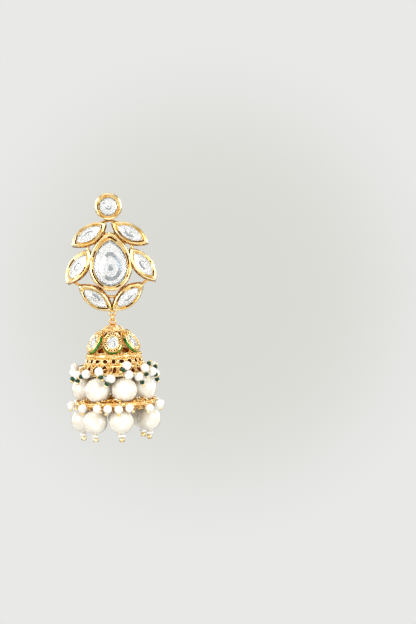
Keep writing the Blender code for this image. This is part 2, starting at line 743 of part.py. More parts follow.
def sprays():
    half_gap = math.pi / PEARLS
    carrier = BAND_RADIUS + SPRAY_ROOT * (HEM_RADIUS - BAND_RADIUS)
    height = SKIRT_TOP - SPRAY_ROOT * SKIRT_HEIGHT
    for index, row in enumerate(UPPER_SPRAYS):
        middle = UPPER_ANGLES[index] - half_gap
        beads = [
            (middle + math.radians(turn), HEM_RADIUS + UPPER_BEAD_REACH, SKIRT_TOP - depth * SKIRT_HEIGHT)
            for turn, depth in row
        ]
        spray("spray_upper_" + str(index + 1), beads, carrier, height, UPPER_BEAD_RADIUS)
    circle = TIER_OUTER_RADIUS + LOWER_BEAD_REACH
    for index, row in enumerate(LOWER_SPRAYS):
        beads = [
            (math.radians(turn), circle, TIER_TOP - LOWER_BEAD_RADIUS * (depth + 0.35))
            for turn, depth in row
        ]
        spray("spray_lower_" + str(index + 1), beads, TIER_OUTER_RADIUS, TIER_TOP, LOWER_BEAD_RADIUS)


def made_by(*steps):
    """The objects that some steps add to the scene."""
    before = set(bpy.data.objects)
    for step in steps:
        step()
    return [item for item in bpy.data.objects if item not in before]


def pivot(name, place, items):
    """An empty where two loops of wire meet, with the pieces that swing about it."""
    empty = bpy.data.objects.new(name, None)
    empty.empty_display_size = RING_RADIUS
    empty.location = place
    bpy.context.scene.collection.objects.link(empty)
    for item in items:
        item.parent = empty
        item.matrix_parent_inverse = Matrix.Translation(-place)
    return empty


def main():
    clear_scene()
    brooch()
    link = made_by(hanging_ring)
    hanging = made_by(bell, tier_ring, pearls, sprays)
    bell_pivot = pivot("bell_pivot", on_axis(SECOND_PIVOT), hanging)
    pivot("ring_pivot", on_axis(FIRST_PIVOT), link + [bell_pivot])


main()
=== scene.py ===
import math
import random

import bmesh
import bpy
from mathutils import Matrix, Vector
from mathutils.geometry import delaunay_2d_cdt


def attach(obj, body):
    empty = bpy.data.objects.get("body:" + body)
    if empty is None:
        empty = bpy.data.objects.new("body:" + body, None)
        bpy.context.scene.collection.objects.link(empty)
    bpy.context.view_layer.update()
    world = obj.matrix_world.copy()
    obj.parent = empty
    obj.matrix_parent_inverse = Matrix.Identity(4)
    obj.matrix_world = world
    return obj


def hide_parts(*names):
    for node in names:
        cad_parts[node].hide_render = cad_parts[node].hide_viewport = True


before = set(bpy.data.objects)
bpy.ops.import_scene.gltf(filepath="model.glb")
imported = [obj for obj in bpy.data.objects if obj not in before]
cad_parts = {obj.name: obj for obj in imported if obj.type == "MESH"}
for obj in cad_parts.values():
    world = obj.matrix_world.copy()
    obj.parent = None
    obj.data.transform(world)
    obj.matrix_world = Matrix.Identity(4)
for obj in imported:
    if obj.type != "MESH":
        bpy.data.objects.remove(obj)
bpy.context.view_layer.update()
mm = 0.001

# A jhumka drop earring in gold plated brass, set with cut glass on foil, hung with glass pearls and seed beads.
# Heights and radii are in millimetres, measured from the ear post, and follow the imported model.
hang = {
    "axisY": -1.8,
    "broochEye": -30.1507, "ringMiddle": -31.2507, "bellEye": -32.3507,
    "eyeRadius": 0.75, "ringRadius": 0.95, "wire": 0.25,
    "bellTop": -33.0007, "bandTop": -41.4007, "skirtTop": -42.3007, "hemBottom": -47.2007,
    "upperPearls": -51.1007, "tierTop": -54.8507, "tierBottom": -55.3507,
    "lowerPearls": -59.9007, "spacerTop": -63.5507,
}


# ---- small tools

def addNode(tree, kind, inputs=None, **settings):  # one node with its settings and links
    node = tree.nodes.new(kind)
    for name, value in settings.items():
        setattr(node, name, value)
    for socket, value in (inputs or {}).items():
        if isinstance(value, bpy.types.NodeSocket):
            tree.links.new(value, node.inputs[socket])
        else:
            node.inputs[socket].default_value = value
    return node


def hexColour(code, alpha=1.0):  # sRGB hex to linear
    parts = [int(code[i:i + 2], 16) / 255 for i in (1, 3, 5)]
    return tuple(c / 12.92 if c <= 0.04045 else ((c + 0.055) / 1.055) ** 2.4 for c in parts) + (alpha,)


def meshPiece(name, points, faces, materials=(), skins=(), smoothAngle=None):
    mesh = bpy.data.meshes.new(name)
    mesh.from_pydata([Vector(p) * mm for p in points], [], faces)
    marked = mesh.attributes.new("skin", "INT", "FACE")
    for index, skin in enumerate(skins):
        marked.data[index].value = skin
        if len(materials) > skin:
            mesh.polygons[index].material_index = skin
    for material in materials:
        mesh.materials.append(material)
    if smoothAngle is None:
        mesh.shade_flat()
    else:
        mesh.shade_smooth()
        mesh.set_sharp_from_angle(angle=math.radians(smoothAngle))
    mesh.update()
    obj = bpy.data.objects.new(name, mesh)
    bpy.context.scene.collection.objects.link(obj)
    return obj


def outwards(obj, merge=0.00001):  # joins loose seams and turns the faces out
    shape = bmesh.new()
    shape.from_mesh(obj.data)
    bmesh.ops.remove_doubles(shape, verts=shape.verts, dist=merge * mm)
    bmesh.ops.recalc_face_normals(shape, faces=shape.faces)
    shape.to_mesh(obj.data)
    shape.free()
    return obj


def plainMesh(obj, name):  # what the modifiers make, as a mesh at the origin
    bpy.context.view_layer.update()
    view = bpy.context.evaluated_depsgraph_get()
    mesh = bpy.data.meshes.new_from_object(obj.evaluated_get(view), preserve_all_data_layers=True, depsgraph=view)
    mesh.name = name
    old = obj.data
    obj.modifiers.clear()
    obj.data = mesh
    bpy.data.meshes.remove(old)
    obj.name = name
    return obj


def dressed(name, obj, tree, values):  # runs one of the node trees on a piece
    modifier = obj.modifiers.new(tree.name, "NODES")
    modifier.node_group = tree
    for item in tree.interface.items_tree:
        if item.item_type == "SOCKET" and item.in_out == "INPUT" and item.name in values:
            modifier[item.identifier] = values[item.name]
    return plainMesh(obj, name)


def ready(obj, body, replaced=()):
    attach(obj, body)
    if replaced:
        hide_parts(*replaced)
    return obj


def joinPieces(name, parts):  # several meshes of one material list into one
    shape = bmesh.new()
    materials = [m for m in parts[0].data.materials]
    for part in parts:
        shape.from_mesh(part.data)
    mesh = bpy.data.meshes.new(name)
    shape.to_mesh(mesh)
    shape.free()
    for material in materials:
        mesh.materials.append(material)
    for part in parts:
        bpy.data.objects.remove(part)
    obj = bpy.data.objects.new(name, mesh)
    bpy.context.scene.collection.objects.link(obj)
    return obj


def roundAxis(radius, degrees, height):  # a point round the bell's axis, from the front towards +X
    turn = math.radians(degrees)
    return Vector((radius * math.sin(turn), hang["axisY"] - radius * math.cos(turn), height))


# ---- materials

def surfaceOf(name):
    material = bpy.data.materials.new(name)
    material.use_nodes = True
    tree = material.node_tree
    return material, tree, tree.nodes["Principled BSDF"]


def colourMix(tree, factor, first, second):  # the colour sockets of a Mix node share their names with others
    node = addNode(tree, "ShaderNodeMix", {0: factor}, data_type="RGBA")
    for index, colour in ((6, first), (7, second)):
        if isinstance(colour, bpy.types.NodeSocket):
            tree.links.new(colour, node.inputs[index])
        else:
            node.inputs[index].default_value = colour
    return node.outputs[2]


def platedBrass(name, look):
    material, tree, shader = surfaceOf(name)
    place = addNode(tree, "ShaderNodeTexCoord").outputs["Object"]
    mottle = addNode(tree, "ShaderNodeTexNoise", {"Vector": place, "Scale": 1 / (look["mottleMm"] * mm), "Detail": 3.0})
    grain = addNode(tree, "ShaderNodeTexNoise", {"Vector": place, "Scale": 1 / (look["grainMm"] * mm), "Detail": 4.0})
    spread = addNode(tree, "ShaderNodeMapRange", {"Value": mottle.outputs["Fac"], "From Min": 0.36, "From Max": 0.62})
    tint = colourMix(tree, spread.outputs["Result"], hexColour(look["deep"]), hexColour(look["bright"]))
    rough = addNode(tree, "ShaderNodeMapRange", {"Value": grain.outputs["Fac"], "To Min": look["roughLow"],
                                                 "To Max": look["roughHigh"]})
    relief = addNode(tree, "ShaderNodeBump", {"Height": grain.outputs["Fac"], "Strength": look["bump"],
                                              "Distance": look["reliefMm"] * mm})
    tree.links.new(tint, shader.inputs["Base Color"])
    tree.links.new(rough.outputs["Result"], shader.inputs["Roughness"])
    tree.links.new(relief.outputs["Normal"], shader.inputs["Normal"])
    shader.inputs["Metallic"].default_value = 1.0
    return material


# Cast brass, plated and buffed: mirror bright with a soft waviness from the buffing wheel
goldPolished = platedBrass("goldPlatedBrassBuffed", {
    "deep": "#F3CC80", "bright": "#FDECC0", "mottleMm": 2.5, "grainMm": 0.8,
    "roughLow": 0.07, "roughHigh": 0.18, "bump": 0.3, "reliefMm": 0.02,
})
# The same plating over stamped filigree, left as it came from the bath: satin; its recesses are the sheet below,
# darkened there as painted shade
goldFiligree = platedBrass("goldPlatedFiligreeStamped", {
    "deep": "#F4C678", "bright": "#FFF2CC", "mottleMm": 0.9, "grainMm": 0.28,
    "roughLow": 0.16, "roughHigh": 0.34, "bump": 0.6, "reliefMm": 0.06,
})
# The sheet under the wires and grains, satin where the buff never reaches; its darker orange is painted shade in the
# recesses
goldRecessPaintedShade = platedBrass("goldPlatedSheetPaintedShade", {
    "deep": "#B4702A", "bright": "#F8C66C", "mottleMm": 0.7, "grainMm": 0.25,
    "roughLow": 0.24, "roughHigh": 0.44, "bump": 0.6, "reliefMm": 0.06,
})
# Inside of the bell and the deepest hollows, dark brown: painted shade
goldInnerPaintedShade = platedBrass("goldPlatedInnerPaintedShade", {
    "deep": "#38200E", "bright": "#8E5018", "mottleMm": 0.8, "grainMm": 0.4,
    "roughLow": 0.40, "roughHigh": 0.60, "bump": 0.4, "reliefMm": 0.05,
})
# Backs of the cups, filed flat and plated without buffing: an even satin
goldSatin = platedBrass("goldPlatedBackSatin", {
    "deep": "#E6B468", "bright": "#F5D293", "mottleMm": 3.0, "grainMm": 0.5,
    "roughLow": 0.36, "roughHigh": 0.50, "bump": 0.35, "reliefMm": 0.03,
})
# Drawn and plated wire, smooth along its length
goldWire = platedBrass("goldPlatedWireDrawn", {
    "deep": "#EDB862", "bright": "#FBDC9C", "mottleMm": 1.5, "grainMm": 0.5,
    "roughLow": 0.14, "roughHigh": 0.28, "bump": 0.15, "reliefMm": 0.01,
})


def pressedGlass(name, look):  # glass whose colour and cloudiness vary a little through the piece
    material, tree, shader = surfaceOf(name)
    place = addNode(tree, "ShaderNodeTexCoord").outputs["Object"]
    cloud = addNode(tree, "ShaderNodeTexNoise", {"Vector": place, "Scale": 1 / (look["cloudMm"] * mm), "Detail": 2.0})
    skin = addNode(tree, "ShaderNodeTexNoise", {"Vector": place, "Scale": 1 / (look["skinMm"] * mm), "Detail": 2.0})
    spread = addNode(tree, "ShaderNodeMapRange", {"Value": cloud.outputs["Fac"], "From Min": 0.35, "From Max": 0.65})
    tint = colourMix(tree, spread.outputs["Result"], hexColour(look["deep"]), hexColour(look["pale"]))
    rough = addNode(tree, "ShaderNodeMapRange", {"Value": skin.outputs["Fac"], "To Min": look["roughLow"],
                                                 "To Max": look["roughHigh"]})
    relief = addNode(tree, "ShaderNodeBump", {"Height": skin.outputs["Fac"], "Strength": look["bump"],
                                              "Distance": look["reliefMm"] * mm})
    tree.links.new(tint, shader.inputs["Base Color"])
    tree.links.new(rough.outputs["Result"], shader.inputs["Roughness"])
    tree.links.new(relief.outputs["Normal"], shader.inputs["Normal"])
    for socket, value in look["fixed"].items():
        shader.inputs[socket].default_value = value
    return material


# Glass beads dipped in pearl essence: cream body, satin sheen under a clear lacquer
pearlEssence = pressedGlass("pearlGlassDipped", {
    "deep": "#E2DCCE", "pale": "#F0EBDF", "cloudMm": 3.0, "skinMm": 1.2, "roughLow": 0.26, "roughHigh": 0.36,
    "bump": 0.1, "reliefMm": 0.01,
    "fixed": {"Coat Weight": 1.0, "Coat Roughness": 0.11, "Coat IOR": 1.95, "Subsurface Weight": 0.35,
              "Subsurface Scale": 1.0 * mm, "Subsurface Radius": (1.0, 0.88, 0.75), "Specular IOR Level": 0.6},
})
# Opaque white pressed glass, tumbled: almost white with a low gloss
whiteBead = pressedGlass("whiteGlassBeadTumbled", {
    "deep": "#E4DFD2", "pale": "#FFFEFB", "cloudMm": 0.7, "skinMm": 0.5, "roughLow": 0.16, "roughHigh": 0.30,
    "bump": 0.55, "reliefMm": 0.05,
    "fixed": {"Coat Weight": 0.4, "Coat Roughness": 0.12, "Subsurface Weight": 0.2,
              "Subsurface Scale": 0.4 * mm, "Subsurface Radius": (1.0, 0.9, 0.8)},
})
# Dark emerald seed beads, drawn glass cut and fire polished
emeraldBead = pressedGlass("emeraldGlassBeadFirePolished", {
    "deep": "#021A0D", "pale": "#0B5230", "cloudMm": 0.7, "skinMm": 0.3, "roughLow": 0.05, "roughHigh": 0.14,
    "bump": 0.1, "reliefMm": 0.01,
    "fixed": {"Coat Weight": 0.1, "Coat Roughness": 0.04, "Specular IOR Level": 0.25},
})
# Vitreous enamel fired in the side walls of the cups: glassy green with a slight orange peel
greenEnamel = pressedGlass("greenEnamelFired", {
    "deep": "#065A1A", "pale": "#2F9A34", "cloudMm": 1.6, "skinMm": 0.35, "roughLow": 0.08, "roughHigh": 0.18,
    "bump": 0.3, "reliefMm": 0.02,
    "fixed": {"Coat Weight": 0.3, "Coat Roughness": 0.05, "IOR": 1.5},
})
# Translucent white glass washers under the lower pearls
milkWasher = pressedGlass("milkGlassWasherPressed", {
    "deep": "#EDEAE2", "pale": "#FFFFFF", "cloudMm": 1.0, "skinMm": 0.4, "roughLow": 0.12, "roughHigh": 0.22,
    "bump": 0.1, "reliefMm": 0.01,
    "fixed": {"Transmission Weight": 0.12, "IOR": 1.5, "Subsurface Weight": 0.1, "Subsurface Scale": 0.3 * mm},
})


def clearStone(name):  # cut and polished crystal glass: no colour of its own
    material, tree, shader = surfaceOf(name)
    place = addNode(tree, "ShaderNodeTexCoord").outputs["Object"]
    skin = addNode(tree, "ShaderNodeTexNoise", {"Vector": place, "Scale": 1 / (0.5 * mm), "Detail": 2.0})
    rough = addNode(tree, "ShaderNodeMapRange", {"Value": skin.outputs["Fac"], "To Min": 0.0, "To Max": 0.03})
    tree.links.new(rough.outputs["Result"], shader.inputs["Roughness"])
    shader.inputs["Base Color"].default_value = hexColour("#FCFCFA")
    shader.inputs["Transmission Weight"].default_value = 0.8
    shader.inputs["IOR"].default_value = 1.5
    return material


def foilBack(name, look):  # crumpled silver foil burnished behind each stone, with a few dark creases
    material, tree, shader = surfaceOf(name)
    place = addNode(tree, "ShaderNodeTexCoord").outputs["Object"]
    crumple = addNode(tree, "ShaderNodeTexNoise", {"Vector": place, "Scale": 1 / (1.6 * mm), "Detail": 2.0,
                                                   "Distortion": 0.8})
    relief = addNode(tree, "ShaderNodeBump", {"Height": crumple.outputs["Fac"], "Strength": 0.24, "Distance": 0.12 * mm})
    off = addNode(tree, "ShaderNodeMath", {0: crumple.outputs["Fac"], 1: 0.5}, operation="SUBTRACT")
    away = addNode(tree, "ShaderNodeMath", {0: off.outputs[0]}, operation="ABSOLUTE")
    # lines along the foil's creases are painted darker: painted shade in the creases
    creaseShade = addNode(tree, "ShaderNodeMapRange", {"Value": away.outputs[0], "From Min": look["creaseLow"],
                                                  "From Max": look["creaseHigh"]})
    tint = colourMix(tree, creaseShade.outputs["Result"], hexColour(look["creaseShade"]), hexColour(look["plain"]))
    tree.links.new(tint, shader.inputs["Base Color"])
    tree.links.new(relief.outputs["Normal"], shader.inputs["Normal"])
    shader.inputs["Metallic"].default_value = 1.0
    shader.inputs["Roughness"].default_value = look["rough"]
    return material


stoneGlass = clearStone("crystalGlassCut")
silverFoil = foilBack("silverFoilBurnished", {"plain": "#F8FAFC", "creaseShade": "#868C95", "creaseLow": 0.002, "creaseHigh": 0.014,
                                              "rough": 0.35})
# The same foil round the culet's step and on one side of the stone, darkened to a blue grey as painted shade
foilPaintedShade = foilBack("silverFoilPaintedShade", {"plain": "#62707E", "creaseShade": "#404A56", "creaseLow": 0.01, "creaseHigh": 0.06,
                                             "rough": 0.25})
print("materials made")


# ---- node trees for what repeats

def newTree(name, sockets):
    tree = bpy.data.node_groups.new(name, "GeometryNodeTree")
    tree.interface.new_socket("Geometry", in_out="INPUT", socket_type="NodeSocketGeometry")
    for label, kind, value in sockets:
        socket = tree.interface.new_socket(label, in_out="INPUT", socket_type=kind)
        if value is not None:
            socket.default_value = value
    tree.interface.new_socket("Geometry", in_out="OUTPUT", socket_type="NodeSocketGeometry")
    return tree, addNode(tree, "NodeGroupInput").outputs


def beadTree():  # a bead on every point, turned along the point's own direction
    tree, given = newTree("beadsOnPoints", [
        ("Bead Radius", "NodeSocketFloat", 0.001), ("Length Share", "NodeSocketFloat", 1.0),
        ("Sides", "NodeSocketInt", 12), ("Material", "NodeSocketMaterial", None),
    ])
    rings = addNode(tree, "ShaderNodeMath", {0: given["Sides"], 1: 0.66}, operation="MULTIPLY")
    ball = addNode(tree, "GeometryNodeMeshUVSphere", {"Segments": given["Sides"], "Rings": rings.outputs[0],
                                                      "Radius": given["Bead Radius"]})
    shapeScale = addNode(tree, "ShaderNodeCombineXYZ", {"X": 1.0, "Y": 1.0, "Z": given["Length Share"]})
    bead = addNode(tree, "GeometryNodeTransform", {"Geometry": ball.outputs["Mesh"], "Scale": shapeScale.outputs[0]})
    facing = addNode(tree, "GeometryNodeInputNamedAttribute", {"Name": "facing"}, data_type="FLOAT_VECTOR")
    size = addNode(tree, "GeometryNodeInputNamedAttribute", {"Name": "size"}, data_type="FLOAT")
    turn = addNode(tree, "FunctionNodeAlignRotationToVector", {"Vector": facing.outputs["Attribute"]}, axis="Z")
    placed = addNode(tree, "GeometryNodeInstanceOnPoints", {
        "Points": given["Geometry"], "Instance": bead.outputs["Geometry"],
        "Rotation": turn.outputs["Rotation"], "Scale": size.outputs["Attribute"]})
    whole = addNode(tree, "GeometryNodeRealizeInstances", {"Geometry": placed.outputs["Instances"]})
    smooth = addNode(tree, "GeometryNodeSetShadeSmooth", {"Geometry": whole.outputs["Geometry"]})
    skin = addNode(tree, "GeometryNodeSetMaterial", {"Geometry": smooth.outputs["Geometry"], "Material": given["Material"]})
    addNode(tree, "NodeGroupOutput", {"Geometry": skin.outputs["Geometry"]})
    return tree


def wireTree():  # a round wire along every line
    tree, given = newTree("wireOnLines", [
        ("Wire Radius", "NodeSocketFloat", 0.0002), ("Sides", "NodeSocketInt", 10),
        ("Material", "NodeSocketMaterial", None),
    ])
    line = addNode(tree, "GeometryNodeMeshToCurve", {"Mesh": given["Geometry"]})
    ring = addNode(tree, "GeometryNodeCurvePrimitiveCircle", {"Resolution": given["Sides"], "Radius": given["Wire Radius"]})
    tube = addNode(tree, "GeometryNodeCurveToMesh", {"Curve": line.outputs["Curve"], "Profile Curve": ring.outputs["Curve"],
                                                     "Fill Caps": True})
    whole = addNode(tree, "GeometryNodeRealizeInstances", {"Geometry": tube.outputs["Mesh"]})
    smooth = addNode(tree, "GeometryNodeSetShadeSmooth", {"Geometry": whole.outputs["Geometry"]})
    skin = addNode(tree, "GeometryNodeSetMaterial", {"Geometry": smooth.outputs["Geometry"], "Material": given["Material"]})
    addNode(tree, "NodeGroupOutput", {"Geometry": skin.outputs["Geometry"]})
    return tree


def ropeTree():  # two strands twisted together along every line
    tree, given = newTree("twistedWireOnLines", [
        ("Strand Radius", "NodeSocketFloat", 0.0001), ("Turns", "NodeSocketFloat", 20.0),
        ("Material", "NodeSocketMaterial", None),
    ])
    line = addNode(tree, "GeometryNodeMeshToCurve", {"Mesh": given["Geometry"]})
    along = addNode(tree, "GeometryNodeSplineParameter")
    turns = addNode(tree, "ShaderNodeMath", {0: along.outputs["Factor"], 1: given["Turns"]}, operation="MULTIPLY")
    angle = addNode(tree, "ShaderNodeMath", {0: turns.outputs[0], 1: 2 * math.pi}, operation="MULTIPLY")
    tilted = addNode(tree, "GeometryNodeSetCurveTilt", {"Curve": line.outputs["Curve"], "Tilt": angle.outputs[0]})
    ring = addNode(tree, "GeometryNodeCurvePrimitiveCircle", {"Resolution": 6, "Radius": given["Strand Radius"]})
    right = addNode(tree, "ShaderNodeCombineXYZ", {"X": given["Strand Radius"]})
    left = addNode(tree, "ShaderNodeVectorMath", {0: right.outputs[0], 1: (-1, -1, -1)}, operation="MULTIPLY")
    both = addNode(tree, "GeometryNodeJoinGeometry")
    for offset in (right.outputs[0], left.outputs[0]):
        moved = addNode(tree, "GeometryNodeTransform", {"Geometry": ring.outputs["Curve"], "Translation": offset})
        tree.links.new(moved.outputs["Geometry"], both.inputs["Geometry"])
    rope = addNode(tree, "GeometryNodeCurveToMesh", {"Curve": tilted.outputs["Curve"],
                                                     "Profile Curve": both.outputs["Geometry"]})
    whole = addNode(tree, "GeometryNodeRealizeInstances", {"Geometry": rope.outputs["Mesh"]})
    smooth = addNode(tree, "GeometryNodeSetShadeSmooth", {"Geometry": whole.outputs["Geometry"]})
    skin = addNode(tree, "GeometryNodeSetMaterial", {"Geometry": smooth.outputs["Geometry"], "Material": given["Material"]})
    addNode(tree, "NodeGroupOutput", {"Geometry": skin.outputs["Geometry"]})
    return tree


def roundTree():  # copies of one sector all round the bell's axis
    tree, given = newTree("copiesRoundAxis", [
        ("Copies", "NodeSocketInt", 6), ("First Turn", "NodeSocketFloat", 0.0), ("Axis", "NodeSocketVector", None),
        ("Join Distance", "NodeSocketFloat", 0.0), ("Material", "NodeSocketMaterial", None),
        ("Second Material", "NodeSocketMaterial", None), ("Third Material", "NodeSocketMaterial", None),
    ])
    spots = addNode(tree, "GeometryNodePoints", {"Count": given["Copies"], "Position": given["Axis"]})
    index = addNode(tree, "GeometryNodeInputIndex")
    step = addNode(tree, "ShaderNodeMath", {0: 2 * math.pi, 1: given["Copies"]}, operation="DIVIDE")
    turn = addNode(tree, "ShaderNodeMath", {0: index.outputs[0], 1: step.outputs[0], 2: given["First Turn"]},
                   operation="MULTIPLY_ADD")
    spin = addNode(tree, "ShaderNodeCombineXYZ", {"Z": turn.outputs[0]})
    placed = addNode(tree, "GeometryNodeInstanceOnPoints", {
        "Points": spots.outputs[0], "Instance": given["Geometry"], "Rotation": spin.outputs[0]})
    whole = addNode(tree, "GeometryNodeRealizeInstances", {"Geometry": placed.outputs["Instances"]})
    joined = addNode(tree, "GeometryNodeMergeByDistance", {"Geometry": whole.outputs["Geometry"],
                                                           "Distance": given["Join Distance"]})
    marked = addNode(tree, "GeometryNodeInputNamedAttribute", {"Name": "skin"}, data_type="INT")
    skin = addNode(tree, "GeometryNodeSetMaterial", {"Geometry": joined.outputs["Geometry"], "Material": given["Material"]})
    for index, label in ((1, "Second Material"), (2, "Third Material")):
        isThis = addNode(tree, "FunctionNodeCompare", {2: marked.outputs["Attribute"], 3: index}, data_type="INT",
                         operation="EQUAL")
        skin = addNode(tree, "GeometryNodeSetMaterial", {"Geometry": skin.outputs["Geometry"],
                                                         "Selection": isThis.outputs["Result"], "Material": given[label]})
    addNode(tree, "NodeGroupOutput", {"Geometry": skin.outputs["Geometry"]})
    return tree


beadsOnPoints, wireOnLines, ropeOnLines, copiesRoundAxis = beadTree(), wireTree(), ropeTree(), roundTree()


def beads(name, spots, look):  # spots are (point, direction, size share)
    mesh = bpy.data.meshes.new(name)
    mesh.from_pydata([point * mm for point, _, _ in spots], [], [])
    mesh.attributes.new("facing", "FLOAT_VECTOR", "POINT")
    mesh.attributes.new("size", "FLOAT", "POINT")
    for index, (_, direction, share) in enumerate(spots):
        mesh.attributes["facing"].data[index].vector = direction
        mesh.attributes["size"].data[index].value = share
    obj = bpy.data.objects.new(name, mesh)
    bpy.context.scene.collection.objects.link(obj)
    return dressed(name, obj, beadsOnPoints, {
        "Bead Radius": look["radius"] * mm, "Length Share": look.get("length", 1.0), "Sides": look["sides"],
        "Material": look["material"]})


def lines(name, paths, tree, values):  # paths are (points, closed)
    mesh = bpy.data.meshes.new(name)
    points, edges = [], []
    for path, closed in paths:
        first = len(points)
        points += [Vector(p) * mm for p in path]
        edges += [(first + i, first + i + 1) for i in range(len(path) - 1)]
        if closed:
            edges.append((first + len(path) - 1, first))
    mesh.from_pydata(points, edges, [])
    obj = bpy.data.objects.new(name, mesh)
    bpy.context.scene.collection.objects.link(obj)
    return dressed(name, obj, tree, values)


def wires(name, paths, radius, sides=10, material=None):
    return lines(name, paths, wireOnLines, {"Wire Radius": radius * mm, "Sides": sides, "Material": material or goldWire})


def ropes(name, paths, strand, turns, material=None):
    return lines(name, paths, ropeOnLines, {"Strand Radius": strand * mm, "Turns": float(turns),
                                            "Material": material or goldWire})


def circlePath(radius, height, count):
    return [roundAxis(radius, 360 * i / count, height) for i in range(count)], True


def loopPath(middle, radius, first, second, count=28):
    turns = [2 * math.pi * i / count for i in range(count)]
    return [middle + (first * math.cos(t) + second * math.sin(t)) * radius for t in turns], True


# ---- outlines of the cups

def arcHalf(halfWidth, length, steps):
    offset = (length ** 2 - halfWidth ** 2) / (2 * halfWidth)
    radius = halfWidth + offset
    sweep = math.atan2(length, offset)
    turns = [sweep * i / steps for i in range(steps + 1)]
    return [(radius * math.cos(t) - offset, radius * math.sin(t)) for t in turns]


def leafOutline(halfWidth, halfLength, steps):
    right = arcHalf(halfWidth, halfLength, steps)
    upper = right + [(-x, y) for x, y in reversed(right[:-1])]
    return upper + [(x, -y) for x, y in reversed(upper[1:-1])]


def pearOutline(halfWidth, tip, base, tipSteps, baseSteps):
    right = arcHalf(halfWidth, tip, tipSteps)
    upper = right + [(-x, y) for x, y in reversed(right[:-1])]
    turns = [math.pi * i / baseSteps for i in range(1, baseSteps)]
    return upper + [(-halfWidth * math.cos(t), -base * math.sin(t)) for t in turns]


def roundOutline(radius, sides):
    return [(radius * math.sin(2 * math.pi * i / sides), radius * math.cos(2 * math.pi * i / sides)) for i in range(sides)]


def evenly(outline, count):  # points at even steps along a closed line
    lengths = [math.dist(p, q) for p, q in zip(outline, outline[1:] + outline[:1])]
    step, spots, walked, index = sum(lengths) / count, [], 0.0, 0
    for k in range(count):
        while walked + lengths[index] < k * step:
            walked += lengths[index]
            index += 1
        share = (k * step - walked) / lengths[index]
        (x0, y0), (x1, y1) = outline[index], outline[(index + 1) % len(outline)]
        spots.append((x0 + (x1 - x0) * share, y0 + (y1 - y0) * share))
    return spots


def placeOf(origin, across, up, outward):
    place = Matrix.Identity(4)
    for column, axis in enumerate((across, up, outward, origin)):
        for row in range(3):
            place[row][column] = axis[row]
    return place


def between(outer, seat, share):
    return [(ox + (sx - ox) * share, oy + (sy - oy) * share) for (ox, oy), (sx, sy) in zip(outer, seat)]


# A collet's section: share of the way from its outer line to the seat, share of its height, and the skin that
# starts there: 0 polished, 1 enamel, 2 darker gold as painted shade on the lower wall, 3 dark brown patches of painted
# shade in the groove by the stone. The last rows turn over the edge of the stone.
colletRows = {
    "plain": [(0.14, 0.0, 2), (0.08, 0.10, 1), (0.05, 0.50, 1), (0.01, 0.72, 0), (0.0, 0.80, 0), (0.03, 0.87, 0),
              (0.10, 0.94, 0), (0.21, 0.985, 0), (0.34, 1.0, 0), (0.48, 0.985, 0), (0.60, 0.93, 3), (0.68, 0.84, 3),
              (0.76, 0.80, 3), (0.84, 0.84, 0), (0.92, 0.885, 0), (1.0, 0.87, 0), (1.08, 0.81, 0), (1.08, 0.72, 0)],
    "double": [(0.14, 0.0, 2), (0.08, 0.10, 2), (0.05, 0.50, 1), (0.01, 0.72, 0), (0.0, 0.80, 0), (0.03, 0.88, 0),
               (0.10, 0.95, 0), (0.20, 0.99, 0), (0.32, 1.0, 0), (0.45, 0.97, 0), (0.54, 0.90, 3), (0.60, 0.83, 3),
               (0.66, 0.83, 3), (0.72, 0.90, 0), (0.79, 0.945, 0), (0.88, 0.94, 0), (0.97, 0.89, 0), (1.06, 0.81, 0),
               (1.06, 0.72, 0)],
    "petal": [(-0.26, 0.0, 2), (-0.20, 0.44, 1), (-0.02, 0.80, 0), (-0.04, 0.83, 0), (-0.02, 0.89, 0), (0.06, 0.97, 0),
              (0.16, 1.0, 0), (0.26, 0.96, 0), (0.31, 0.86, 2), (0.84, 0.86, 0), (0.90, 0.96, 0), (1.0, 1.01, 0),
              (1.12, 1.03, 0), (1.26, 1.01, 0), (1.38, 0.95, 0), (1.38, 0.72, 0), (1.05, 0.66, 0)],
}


def collet(outer, seat, height, depth, place, rows, enamelled, bare=2):  # points, faces, skins
    sides = len(outer)
    points, faces, skins = [], [], []
    for share, level, _ in rows:
        points += [place @ Vector((x, y, level * height)) for x, y in between(outer, seat, share)]
    points += [place @ Vector((x, y, height - depth)) for x, y in between(outer, seat, 1.0)]
    for row in range(len(rows)):
        for side in range(sides):
            after = (side + 1) % sides
            skin, (x, y) = rows[row][2], outer[side]
            # walls left without enamel take the bare skin: darker gold as painted shade, polished on the petals
            if skin == 1 and not enamelled(x, y):
                skin = bare
            # the groove by the stone turns dark brown in patches: painted shade
            if skin == 3 and math.sin(1.1 * x + 0.4 + place[0][3]) + math.sin(0.9 * y + 1.3 * x - place[2][3]) < 0.75:
                skin = 0
            skins.append(skin)
            faces.append((row * sides + side, row * sides + after, (row + 1) * sides + after, (row + 1) * sides + side))
    faces.append(tuple(reversed(range(sides))))
    faces.append(tuple(len(rows) * sides + side for side in range(sides)))
    return points, faces, skins + [4, 0]
